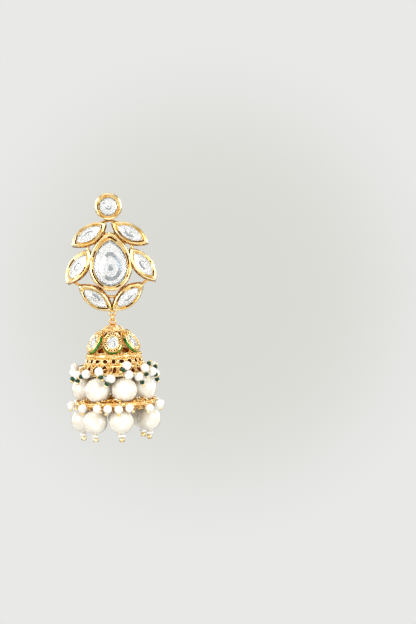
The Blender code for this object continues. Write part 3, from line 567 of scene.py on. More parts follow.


# the culet, and the step on the side each cut's shade rule picks, take the darker foil: painted shade
def cutStone(line, height, depth, place, cut):  # crown in glass, back in foil, with a dark step round the culet
    sides = len(line)
    middle = Vector((sum(x for x, _ in line) / sides, sum(y for _, y in line) / sides))
    width = max(x for x, _ in line)
    halves = [((line[i][0] + line[(i + 1) % sides][0]) / 2, (line[i][1] + line[(i + 1) % sides][1]) / 2)
              for i in range(sides)]

    def ring(source, share, level, drop=0.0):
        return [place @ Vector((*(middle + (Vector(p) - middle) * share - Vector((0, drop))), level)) for p in source]

    girdle, floor = height - 0.3, height - depth + 0.06
    rings = [ring(line, cut["culet"] * 0.16, floor + cut["stepRise"] + 0.14, cut["drop"] * 1.4),
             ring(halves, cut["culet"] * 0.34, floor + cut["stepRise"] + 0.01, cut["drop"] * 1.4),
             ring(line, cut["culet"], floor + cut["stepRise"], cut["drop"]), ring(halves, cut["step"], floor, cut["drop"]),
             ring(line, 0.9, floor), ring(line, 1.0, girdle - 0.04), ring(line, 1.0, girdle + 0.04),
             ring(halves, cut["crown"], girdle + 0.65 * cut["crownRise"]), ring(line, cut["table"], height + cut["tableRise"])]
    points = [p for r in rings for p in r]
    faces, skins = [tuple(reversed(range(sides)))], [2]
    for low, kind, skin in ((0, "up", 2), (1, "down", 1), (2, "up", 2), (3, "down", 1), (4, "level", 1), (5, "level", 1),
                            (6, "up", 0), (7, "down", 0)):
        for side in range(sides):
            after = (side + 1) % sides
            a, b = low * sides + side, low * sides + after
            c, d = a + sides, b + sides
            # a ring of half steps lies between two corners of the next
            faces += {"up": [(a, b, c), (b, d, c)], "down": [(a, d, c), (a, b, d)], "level": [(a, b, d, c)]}[kind]
            turn = Vector(line[side]) - middle
            here = skin if skin < 2 or low == 0 or cut["shade"](turn.x / width, turn.y / width) else 1
            skins += [here] if kind == "level" else [here, here]
    faces.append(tuple(8 * sides + side for side in range(sides)))
    return points, faces, skins + [0]


def gathered(name, parts, materials, smoothAngle=None):  # several (points, faces, skins) as one piece
    points, faces, skins = [], [], []
    for partPoints, partFaces, partSkins in parts:
        skins += partSkins
        faces += [tuple(i + len(points) for i in face) for face in partFaces]
        points += partPoints
    return meshPiece(name, points, faces, materials, skins, smoothAngle)


# ---- the brooch: round stud, pear and six leaves

brooch = {
    "studRadius": 3.86, "studHeight": 3.2, "studRim": 1.35,
    "pearDrop": 16.9, "pearHalf": 6.1, "pearTip": 9.9, "pearBase": 6.9, "pearHeight": 3.2, "pearRim": 1.45, "pearTipRim": 2.4,
    "leafHalfLength": 5.8, "leafHalfWidth": 2.75, "leafHeight": 2.5, "leafRim": 0.9, "leafTipRim": 1.8, "leafLean": 18,
    "leaves": {"upper": (0.967, 0.944, -30.6), "middle": (1.525, 0.040, -54.5), "lower": (0.770, -0.894, 39.0)},
    "bridges": [("upper", 0.0, "middle", -0.7), ("middle", 0.75, "lower", 0.8)],
    "enamel": {"upper": (-0.75, 0.9), "middle": (-0.5, 0.88), "lower": (-0.8, 0.9)},  # shares of a leaf left bare
    "strut": 0.38, "postRadius": 0.45, "postLength": 11.0, "seat": 1.0,
    "studCut": {"culet": 0.24, "step": 0.42, "stepRise": 0.20, "crown": 0.86, "crownRise": 0.5, "table": 0.62,
                "tableRise": 0.35, "shade": lambda x, y: x - y > 0.3, "drop": 0.0},
    "pearCut": {"culet": 0.47, "step": 0.66, "stepRise": 0.34, "crown": 0.86, "crownRise": 0.55, "table": 0.66,
                "tableRise": 0.35, "shade": lambda x, y: x > 0.0 or y < -0.85, "drop": 0.55},
    "leafCut": {"culet": 0.24, "step": 0.46, "stepRise": 0.22, "crown": 0.86, "crownRise": 0.5, "table": 0.55,
                "tableRise": 0.35, "shade": lambda x, y: x - 0.4 * y > 0.1, "drop": 0.0},
}
forward = Vector((0, -1, 0))


def leafPlaces():
    heart = Vector((0, 0, -brooch["pearDrop"]))
    lean = math.radians(brooch["leafLean"])
    places = {}
    for name, (acrossShare, upShare, turn) in brooch["leaves"].items():
        for sideName, side in (("right", 1), ("left", -1)):
            rim = heart + Vector((side * acrossShare * brooch["pearHalf"], 0, upShare * brooch["pearTip"]))
            angle = math.radians(turn if side > 0 else 180 - turn)
            up = Vector((math.cos(angle), 0, math.sin(angle)))
            across = Vector((math.sin(angle), 0, -math.cos(angle)))
            away = 1 if across.dot(rim - heart) > 0 else -1
            leanOut = across * away
            outward = forward * math.cos(lean) + leanOut * math.sin(lean)
            leaned = across * math.cos(lean) - forward * (away * math.sin(lean))
            base = rim - leanOut * (brooch["leafHeight"] * math.sin(lean)) + forward * (brooch["leafHalfWidth"] * math.sin(lean))
            places[name, sideName] = placeOf(base, leaned, up, outward)
    return places


def makeBrooch():
    places = leafPlaces()
    b = brooch
    facing = placeOf(Vector(), Vector((1, 0, 0)), Vector((0, 0, 1)), forward)
    heart = placeOf(Vector((0, 0, -b["pearDrop"])), Vector((1, 0, 0)), Vector((0, 0, 1)), forward)

    def pear(rim, tipRim, tipSteps, baseSteps):
        return pearOutline(b["pearHalf"] - rim, b["pearTip"] - tipRim, b["pearBase"] - rim, tipSteps, baseSteps)

    def leaf(rim, tipRim, steps):
        return leafOutline(b["leafHalfWidth"] - rim, b["leafHalfLength"] - tipRim, steps)

    cups = [
        collet(roundOutline(b["studRadius"], 64), roundOutline(b["studRadius"] - b["studRim"], 64), b["studHeight"], b["seat"],
               facing, colletRows["double"], lambda x, y: y < -0.8 * b["studRadius"]),
        collet(pear(0, 0, 22, 36), pear(b["pearRim"], b["pearTipRim"], 22, 36), b["pearHeight"], b["seat"], heart,
               colletRows["double"], lambda x, y: y > 0.75 * b["pearTip"]),
    ]
    stones = [
        cutStone(roundOutline(b["studRadius"] - b["studRim"] - 0.02, 12), b["studHeight"], b["seat"], facing, b["studCut"]),
        cutStone(pear(b["pearRim"] + 0.02, b["pearTipRim"] + 0.02, 4, 8), b["pearHeight"], b["seat"], heart, b["pearCut"]),
    ]
    for (name, _), place in places.items():
        green = lambda x, y, low=b["enamel"][name][0], high=b["enamel"][name][1]: not low < y / b["leafHalfLength"] < high
        cups.append(collet(leaf(0, 0, 18), leaf(b["leafRim"], b["leafTipRim"], 18), b["leafHeight"], b["seat"], place,
                           colletRows["plain"], green))
        stones.append(cutStone(leaf(b["leafRim"] + 0.02, b["leafTipRim"] + 0.02, 3), b["leafHeight"], b["seat"], place,
                               b["leafCut"]))
    metal = outwards(gathered("broochCollets", cups, [goldPolished, greenEnamel, goldRecessPaintedShade, goldInnerPaintedShade, goldSatin], 38))
    glass = outwards(gathered("broochStones", stones, [stoneGlass, silverFoil, foilPaintedShade]))

    # struts behind the cups and the bridges that show between the leaves
    depth = b["strut"] * 2
    centre = Vector((0, -depth, -b["pearDrop"]))
    tips = [places["upper", sideName] @ Vector((0, -0.8 * b["leafHalfLength"], depth * 0.8)) for sideName in ("right", "left")]
    saddle = [Vector((x, -1.3, z)) for x, z in ((-3.1, -4.75), (-1.7, -4.3), (0, -4.1), (1.7, -4.3), (3.1, -4.75))]
    # the spine takes the darker gold: painted shade behind the cups
    spine = wires("broochSpine", [([Vector((0, -0.4, -1.5)), tip, centre], False) for tip in tips] + [(saddle, False)],
                  b["strut"] * 0.7, 12, goldRecessPaintedShade)
    paths = []
    paths += [([place @ Vector((0, 0, depth)), centre], False) for place in places.values()]
    for sideName in ("right", "left"):
        for first, firstShare, second, secondShare in b["bridges"]:
            ends = [places[name, sideName] @ Vector((0, share * b["leafHalfLength"], depth))
                    for name, share in ((first, firstShare), (second, secondShare))]
            paths.append((ends, False))
    paths.append(([places["lower", sideName] @ Vector((0, 0, depth)) for sideName in ("right", "left")], False))
    leafPoint = hang["broochEye"] + hang["eyeRadius"]
    neck = [Vector((0, hang["axisY"], leafPoint + 1.6)), Vector((0, hang["axisY"], leafPoint - hang["wire"] / 2))]
    struts = wires("broochStruts", paths + [(neck, False)], b["strut"], 12)
    # twisted wire along the side of each leaf that faces the pear
    edging = []
    for place in places.values():
        facesPear = -1 if place.col[0].xyz.dot(place.col[3].xyz - heart.col[3].xyz) > 0 else 1
        shape = leafOutline(b["leafHalfWidth"] + 0.08, b["leafHalfLength"] + 0.1, 18)
        half = sorted(((x, y) for x, y in shape if x * facesPear > 0), key=lambda p: p[1])
        edging.append(([place @ Vector((x, y, 0.6 * b["leafHeight"])) for x, y in half], False))
    # the edging wire takes the darker gold: painted shade along the leaves
    twist = ropes("leafEdging", edging, 0.12, 16, goldRecessPaintedShade)
    eye = wires("broochEye", [loopPath(Vector((0, hang["axisY"], hang["broochEye"])), hang["eyeRadius"],
                                       Vector((1, 0, 0)), Vector((0, 0, 1)))], hang["wire"])
    # the post, with its end rounded over so that it passes the ear
    length, radius = b["postLength"], b["postRadius"]
    profile = [(0.0, -0.3), (radius, -0.3), (radius, length - 0.3), (radius * 0.85, length - 0.1), (radius * 0.5, length),
               (0.0, length)]
    points, faces = [], []
    for r, y in profile:
        points += [Vector((r * math.cos(2 * math.pi * i / 24), y, r * math.sin(2 * math.pi * i / 24))) for i in range(24)]
    for row in range(len(profile) - 1):
        for i in range(24):
            j = (i + 1) % 24
            faces.append((row * 24 + i, row * 24 + j, row * 24 + 24 + j, row * 24 + 24 + i))
    post = outwards(meshPiece("earPost", points, faces, [goldWire], smoothAngle=40), 0.001)
    ready(metal, "brooch", ["brooch_frame"])
    for piece in (spine, struts, twist, eye, post):
        ready(piece, "brooch")
    stoneNodes = ["stone_round", "stone_pear"] + ["stone_leaf_%s_%s" % key for key in places]
    ready(glass, "brooch", stoneNodes)
    print("brooch made")


makeBrooch()


# ---- the link between brooch and bell

link = wires("hangingLink", [loopPath(Vector((0, hang["axisY"], hang["ringMiddle"])), hang["ringRadius"],
                                      Vector((0, 1, 0)), Vector((0, 0, 1)))], hang["wire"])
ready(link, "ring", ["hanging_ring"])
print("link made")


# ---- the bell: pierced dome with petals, band, pierced skirt and hem

bell = {
    "wall": 0.6, "domeHeight": 8.4, "bandRadius": 7.56, "skirtHeight": 4.9, "hemRadius": 9.7, "hemWidth": 1.75, "hemHeight": 0.9,
    "domeRows": [(0.08, 0.0), (0.32, 0.12), (0.43, 0.24), (0.50, 0.325), (0.55, 0.38), (0.81, 0.73), (0.91, 0.91),
                 (0.955, 0.99), (1.0, 1.0)],
    "skirtRows": [(0.0, 0.0), (0.03, 0.06), (0.12, 0.17), (0.20, 0.28), (0.33, 0.40), (0.56, 0.58), (0.80, 0.77),
                  (0.95, 0.83)],
    "petals": 6, "shadeLining": 0.72, "skirtCells": 21, "skirtSectors": 7,
    "skirtOpenings": [(1.1, 1.0, 0.0), (0.88, 1.14, 0.008), (1.2, 0.92, -0.006)],  # width, height and shift of each
}


def rowRadius(rows, depth):
    for (r0, d0), (r1, d1) in zip(rows, rows[1:]):
        if depth <= d1:
            return r0 + (r1 - r0) * (depth - d0) / (d1 - d0)
    return rows[-1][0]


def softRadius(rows, depth, reach=0.045):  # the same, with its corners eased
    low, high = rows[0][1], rows[-1][1]
    samples = [min(max(depth + reach * k / 3, low), high) for k in range(-3, 4)]
    ease = min(1.0, (depth - low) / reach, (high - depth) / reach)
    soft = sum(rowRadius(rows, d) for d in samples) / len(samples)
    return rowRadius(rows, depth) * (1 - max(ease, 0)) + soft * max(ease, 0)


def domeRadius(depth):
    return softRadius(bell["domeRows"], depth) * bell["bandRadius"]


def skirtRadius(depth):
    return bell["bandRadius"] + softRadius(bell["skirtRows"], depth) * (bell["hemRadius"] - bell["bandRadius"])


def inside(point, line):
    x, y = point
    crossed = False
    for (x0, y0), (x1, y1) in zip(line, line[1:] + line[:1]):
        if (y0 > y) != (y1 > y) and x < (x1 - x0) * (y - y0) / (y1 - y0) + x0:
            crossed = not crossed
    return crossed


def piercedSector(name, sector, depths, radiusAt, heightAt, holes, columns, rows):
    """sector in degrees; holes are lines of (share of the sector, depth)"""
    low, high = depths
    across = math.radians(sector) * radiusAt((low + high) / 2)
    down = abs(heightAt(high) - heightAt(low))
    flat = lambda u, d: ((u) * across, (d - low) / (high - low) * down)
    points = [flat(-0.5 + i / columns, low + (high - low) * j / rows) for j in range(rows + 1) for i in range(columns + 1)]
    lines2d = [[flat(u, d) for u, d in hole] for hole in holes]
    gap = 0.35 * across / columns
    kept = []
    for index, p in enumerate(points):
        i, j = index % (columns + 1), index // (columns + 1)
        edge = i in (0, columns) or j in (0, rows)
        near = any(inside(p, line) or min((Vector(p) - Vector(q)).length for q in line) < gap for line in lines2d)
        if edge or not near:
            kept.append(p)
    edges = []
    for line in lines2d:
        first = len(kept)
        kept += line
        edges += [(first + k, first + (k + 1) % len(line)) for k in range(len(line))]
    made, _, triangles, _, _, _ = delaunay_2d_cdt([Vector(p) for p in kept], edges, [], 0, 1e-7)
    faces = []
    for tri in triangles:
        middle = sum((made[k] for k in tri), Vector((0, 0))) / len(tri)
        if not any(inside(middle, line) for line in lines2d):
            faces.append(tuple(tri))
    solid = []
    for x, y in made:
        u, depth = x / across, low + (high - low) * y / down
        turn = math.radians(sector) * u
        radius = radiusAt(depth)
        solid.append(Vector((radius * math.sin(turn), -radius * math.cos(turn), heightAt(depth))))
    return outwards(meshPiece(name, solid, faces, smoothAngle=60))


def faceOut(obj):  # a wall that isn't closed yet: its faces look away from the axis
    shape = bmesh.new()
    shape.from_mesh(obj.data)
    for face in shape.faces:
        centre = face.calc_center_median()
        if face.normal.x * centre.x + face.normal.y * centre.y < 0:
            face.normal_flip()
    shape.to_mesh(obj.data)
    shape.free()
    return obj


def wallAround(name, sectorPiece, copies, firstTurn, finish):
    faceOut(sectorPiece)
    modifier = sectorPiece.modifiers.new("round", "NODES")
    modifier.node_group = copiesRoundAxis
    values = {"Copies": copies, "First Turn": math.radians(firstTurn), "Axis": (0, hang["axisY"] * mm, 0),
              "Join Distance": 0.01 * mm, "Material": finish}
    for item in copiesRoundAxis.interface.items_tree:
        if item.item_type == "SOCKET" and item.in_out == "INPUT" and item.name in values:
            modifier[item.identifier] = values[item.name]
    thick = sectorPiece.modifiers.new("wall", "SOLIDIFY")
    thick.thickness, thick.offset, thick.use_even_offset = bell["wall"] * mm, -1.0, False
    obj = plainMesh(sectorPiece, name)
    obj.data.materials.append(goldInnerPaintedShade)
    # faces inside the bell take the dark brown inner gold: painted shade
    for face in obj.data.polygons:  # faces that look at the axis
        if face.normal.x * face.center.x + face.normal.y * (face.center.y - hang["axisY"] * mm) < -0.0006 * face.normal.xy.length:
            face.material_index = 1
    obj.data.set_sharp_from_angle(angle=math.radians(50))
    return obj


def holeLine(centreU, centreD, halfU, halfD, kind, count=16):
    line = []
    for i in range(count):
        t = 2 * math.pi * i / count
        x, y = math.sin(t), math.cos(t)
        if kind == "arch":  # pointed at the top, flat at the foot
            y = y if y < 0 else y ** 1.0
            width = 1.0 if y < 0 else (1 - y) ** 0.75
            line.append((centreU + halfU * math.copysign(min(abs(x) ** 0.6, 1.0), x) * width, centreD - halfD * y))
        elif kind == "diamond":
            k = abs(x) + abs(y)
            line.append((centreU + halfU * x / k * (1.0 + 0.12 * min(abs(x), abs(y))), centreD - halfD * y / k))
        else:
            line.append((centreU + halfU * x, centreD - halfD * y))
    return line


def makeBell():
    top, height = hang["bellTop"], bell["domeHeight"]
    domeZ = lambda d: top - d * height
    skirtZ = lambda d: hang["skirtTop"] - d * bell["skirtHeight"]
    # six sectors of the dome, each with its openings in the middle between two petals
    domeHoles = [holeLine(0, 0.315, 0.135, 0.072, "round", 18), holeLine(0, 0.845, 0.165, 0.095, "arch", 18),
                 holeLine(-0.30, 0.93, 0.035, 0.03, "round", 8), holeLine(0.30, 0.93, 0.035, 0.03, "round", 8),
                 holeLine(0, 0.52, 0.03, 0.035, "round", 8), holeLine(0, 0.63, 0.03, 0.035, "round", 8)]
    sector = piercedSector("domeSector", 60, (0.0, 0.995), domeRadius, domeZ, domeHoles, 16, 30)
    # the dome's sheet takes the darker gold: painted shade under the wires and grains
    dome = wallAround("bellDome", sector, bell["petals"], 30, goldRecessPaintedShade)
    # seven sectors of the skirt, each with three cells whose openings differ as hand-sawn ones do
    skirtHoles, skirtPins = [], []
    for cell, (wide, tallShare, shift) in enumerate(bell["skirtOpenings"]):
        u = (cell - 1) / 3
        skirtHoles += [holeLine(u + shift, 0.17, 0.095 * wide, 0.11 * tallShare, "round", 14),
                       holeLine(u - shift, 0.59, 0.112 * wide, 0.215 * tallShare, "arch", 16)]
        skirtPins.append(holeLine(u - 0.5 / 3, 0.40, 0.022, 0.04, "round", 7))
    skirtPins = skirtPins[1:]
    sector = piercedSector("skirtSector", 360 / bell["skirtSectors"], (0.0, 0.83), skirtRadius, skirtZ, skirtHoles + skirtPins,
                           24, 14)
    # the skirt's sheet takes the darker gold: painted shade under the wires and grains
    skirt = wallAround("bellSkirt", sector, bell["skirtSectors"], 0, goldRecessPaintedShade)

    # band between them and the hem, both turned
    bandR, wall = bell["bandRadius"], bell["wall"]
    bandTop, skirtTop, hem = hang["bandTop"], hang["skirtTop"], hang["hemBottom"]
    band = [(bandR - wall, bandTop + 0.12), (bandR - 0.05, bandTop + 0.12), (bandR + 0.02, bandTop),
            (bandR + 0.12, (bandTop + skirtTop) / 2), (bandR + 0.02, skirtTop), (bandR - 0.05, skirtTop - 0.12),
            (bandR - wall, skirtTop - 0.12)]
    outer, inner = bell["hemRadius"], bell["hemRadius"] - bell["hemWidth"]
    hemTop = hem + bell["hemHeight"]
    rim = [(inner, hem + 0.1), (inner, hemTop - 0.05), (outer - 0.55, hemTop), (outer - 0.2, hemTop - 0.02),
           (outer - 0.03, hemTop - 0.25), (outer - 0.05, hem + 0.35), (outer, hem + 0.12), (outer - 0.05, hem), (inner + 0.1, hem)]
    rings = turnedRings("bellBands", [band, rim], 126, goldPolished)

    # a thin dark brown sheet inside the piercing, from above the band down to the hem: painted shade seen through the
    # openings
    edge = [(domeRadius(d) - bell["shadeLining"], domeZ(d)) for d in (0.76, 0.82, 0.88, 0.94, 0.99)]
    edge += [(skirtRadius(d) - bell["shadeLining"], skirtZ(d)) for d in (0.02, 0.08, 0.15, 0.25, 0.35, 0.45, 0.55, 0.65, 0.75, 0.83)]
    shadeLining = turnedRings("bellShadeLining", [edge + [(r - 0.12, z) for r, z in reversed(edge)]], 72, goldInnerPaintedShade)

    # the six petal cups and their stones
    capRadius, capDepth = bell["domeRows"][2]
    lastRadius, lastDepth = bell["domeRows"][-2]
    lean = math.atan2(bandR * (lastRadius - capRadius), height * (lastDepth - capDepth))
    depth = petal["place"] * height
    radius = bandR * capRadius + (depth - capDepth * height) * math.tan(lean)
    radial, across = Vector((0, -1, 0)), Vector((1, 0, 0))
    up = Vector((0, 0, math.cos(lean))) - radial * math.sin(lean)
    outward = radial * math.cos(lean) + Vector((0, 0, math.sin(lean)))
    base = Vector((0, 0, top - depth)) + radial * radius - outward * petal["root"]
    place = placeOf(base, across, up, outward)
    tall = petal["root"] + petal["stand"]

    def line(rim, tipRim, tipSteps, baseSteps):
        return pearOutline(petal["half"] - rim, petal["tip"] - tipRim, petal["base"] - rim, tipSteps, baseSteps)

    outerLine, seatLine = line(0, 0, 14, 22), line(petal["rim"], petal["tipRim"], 14, 22)
    values = {"Copies": bell["petals"], "First Turn": 0.0, "Axis": (0, hang["axisY"] * mm, 0), "Join Distance": 0.0}
    # the petals' foot and the step inside the rim take the dark brown inner gold: painted shade
    cup = outwards(gathered("petalCup", [collet(outerLine, seatLine, tall, petal["seat"], place, colletRows["petal"],
                                                lambda x, y: y < 0.5 * petal["tip"], bare=0)], [], 40))
    cups = dressed("bellPetals", cup, copiesRoundAxis, {**values, "Material": goldPolished, "Second Material": greenEnamel,
                                                          "Third Material": goldInnerPaintedShade})
    stoneLine = line(petal["rim"] + 0.02, petal["tipRim"] + 0.02, 3, 6)
    gem = outwards(gathered("petalStone", [cutStone(stoneLine, tall, petal["seat"], place, petal["cut"])], []))
    gems = dressed("petalStones", gem, copiesRoundAxis, {**values, "Material": stoneGlass, "Second Material": silverFoil,
                                                              "Third Material": foilPaintedShade})

    # granules inside each petal's rim, and twisted wire round its foot
    rimShape = line(0.58 * petal["rim"], 0.58 * petal["tipRim"], 26, 40)
    borderLine = evenly(rimShape, petal["granules"])
    footLine = between(line(0, 0, 26, 40), line(petal["rim"], petal["tipRim"], 26, 40), -0.3)
    borders, feet = [], []
    for k in range(bell["petals"]):
        spin = Matrix.Translation((0, hang["axisY"], 0)) @ Matrix.Rotation(math.radians(60 * k), 4, "Z")
        borders += [(spin @ place @ Vector((x, y, tall * 0.92)), spin.to_3x3() @ outward, 1.0) for x, y in borderLine]
        feet.append(([spin @ place @ Vector((x, y, tall * 0.22)) for x, y in footLine], True))
    rope = beads("petalBorders", borders, {"radius": 0.25, "sides": 8, "material": goldFiligree})
    # the wire round each petal's foot takes the darker gold: painted shade
    foot = ropes("petalFeet", feet, 0.13, 22, goldRecessPaintedShade)

    # twisted wires round the cap and both edges of the band, and a wire round each pointed opening and the round one
    # above it
    capZ = top - 0.235 * height
    ringRopes = ropes("bellRopes", [circlePath(domeRadius(0.235) + 0.06, capZ, 200), circlePath(bandR + 0.02, bandTop + 0.05, 400),
                                    circlePath(bandR + 0.04, skirtTop - 0.05, 400)], 0.13, 60)
    edgePaths = []
    for copies, holes, first, radiusAt, heightAt in ((bell["skirtSectors"], skirtHoles, 0, skirtRadius, skirtZ),
                                                     (bell["petals"], domeHoles[:2], 30, domeRadius, domeZ)):
        for hole in holes:
            midU, midD = (sum(p[k] for p in hole) / len(hole) for k in (0, 1))
            wide = [(midU + (u - midU) * 1.15, midD + (d - midD) * 1.15) for u, d in hole]
            edgePaths += [([roundAxis(radiusAt(d) + 0.04, first + (u + k) * 360 / copies, heightAt(d)) for u, d in wide], True)
                          for k in range(copies)]
    edging = wires("openingWires", edgePaths, 0.13, 6, goldFiligree)
    # slanting gadroons run down the cap from the crown
    gadroons = []
    for k in range(36):
        gadroons.append(([roundAxis(domeRadius(d) + 0.05, 360 * k / 36 + 130 * d, domeZ(d))
                          for d in (0.05, 0.09, 0.13, 0.17, 0.2, 0.225)], False))
    ribs = wires("capGadroons", gadroons, 0.09, 6, goldFiligree)

    # granulation: rows of tiny balls on the cap, the band and between the openings
    spots = []
    for share, size in ((0.09, 0.45), (0.12, 0.5), (0.15, 0.58), (0.18, 0.66), (0.21, 0.74)):
        r = domeRadius(share)
        spots += [(roundAxis(r + 0.06, 360 * (i + 0.5) / 36 + 130 * share, domeZ(share)), Vector((0, 0, 1)), size)
                  for i in range(36)]
    count = 108
    spots += [(roundAxis(bandR + 0.12, 360 * i / count, (bandTop + skirtTop) / 2), Vector((0, 0, 1)), 0.9) for i in range(count)]
    for k in range(bell["skirtCells"]):
        for u, d, size in ((0.5, 0.10, 1.0), (0.5, 0.20, 1.3), (0.5, 0.30, 1.0), (0.5, 0.50, 1.2), (0.5, 0.62, 1.0), (0.5, 0.73, 0.9),
                           (0.0, 0.34, 1.3), (0.22, 0.33, 0.8), (-0.22, 0.33, 0.8)):
            turn = (k + u) * 360 / bell["skirtCells"]
            spots.append((roundAxis(skirtRadius(d) + 0.04, turn, skirtZ(d)), Vector((0, 0, 1)), size))
    for k in range(bell["petals"]):
        for u, d, size in ((0, 0.215, 1.4), (0, 0.43, 1.5), (0, 0.475, 1.1), (0, 0.575, 1.2), (0, 0.685, 1.5), (0.09, 0.70, 1.0),
                           (-0.09, 0.70, 1.0), (0.22, 0.885, 1.2), (-0.22, 0.885, 1.2), (0.2, 0.95, 1.0), (-0.2, 0.95, 1.0)):
            spots.append((roundAxis(domeRadius(d) + 0.05, 30 + 60 * k + 60 * u, domeZ(d)), Vector((0, 0, 1)), size))
    grains = beads("bellGrains", spots, {"radius": 0.22, "sides": 8, "material": goldFiligree})
    eye = wires("bellEye", [loopPath(Vector((0, hang["axisY"], hang["bellEye"])), hang["eyeRadius"], Vector((1, 0, 0)),
                                     Vector((0, 0, 1)))], hang["wire"])
    # the cap's little crown under the loop, closed over the dome's first row
    cap = [(0.05, top + 0.2), (0.34, top + 0.18), (0.46, top), (0.66, top - 0.12), (0.78, top - 0.34), (0.6, top - 0.55), (0.05, top - 0.6)]
    crown = turnedRings("bellCrown", [cap], 32, goldPolished)
    ready(dome, "bell", ["bell"])
    for piece in (skirt, shadeLining, rings, cups, rope, foot, ringRopes, edging, ribs, grains, eye, crown):
        ready(piece, "bell")
    ready(gems, "bell", ["stone_petal_%d" % (k + 1) for k in range(bell["petals"])])
    print("bell made")


petal = {
    "half": 2.6, "tip": 4.0, "base": 2.8, "rim": 0.85, "tipRim": 1.3, "stand": 1.25, "root": 0.3, "place": 0.675, "seat": 0.9,
    "granules": 22,
    "cut": {"culet": 0.24, "step": 0.42, "stepRise": 0.14, "crown": 0.84, "crownRise": 0.5, "table": 0.56, "tableRise": 0.3,
            "shade": lambda x, y: x > 0.2, "drop": 0.1},
}


def turnedRings(name, profiles, sides, material, smoothAngle=45):
    """each profile is a closed line of (radius, height), turned round the bell's axis"""
    points, faces = [], []
    for profile in profiles:
        first, count = len(points), len(profile)
        for r, z in profile:
            points += [roundAxis(r, 360 * i / sides, z) for i in range(sides)]
        for row in range(count):
            low, high = first + row * sides, first + (row + 1) % count * sides
            faces += [(low + i, low + (i + 1) % sides, high + (i + 1) % sides, high + i) for i in range(sides)]
    return outwards(meshPiece(name, points, faces, [material], smoothAngle=smoothAngle))


makeBell()


# ---- the tier ring with its wires

pearlLook = {
    "count": 7, "upperRadius": 3.55, "upperCircle": 8.75, "upperTurn": -33.0, "lowerRadius": 3.45, "lowerCircle": 9.3,
    "lowerTurn": -38.0, "lowerSwing": (0.0, -3.4, 15.1, 11.7, 7.3, 2.8, -0.6), "bore": 0.45, "wire": 0.25,
}
upperAngles = [pearlLook["upperTurn"] + 360 * i / 7 for i in range(7)]
lowerAngles = [pearlLook["lowerTurn"] + 360 * i / 7 + pearlLook["lowerSwing"][i] for i in range(7)]
tier = {"outer": 11.15, "inner": 8.1, "rimWidth": 0.6, "rimHeight": 1.3, "rimRise": 0.4, "grain": 0.24, "heap": 1.3}


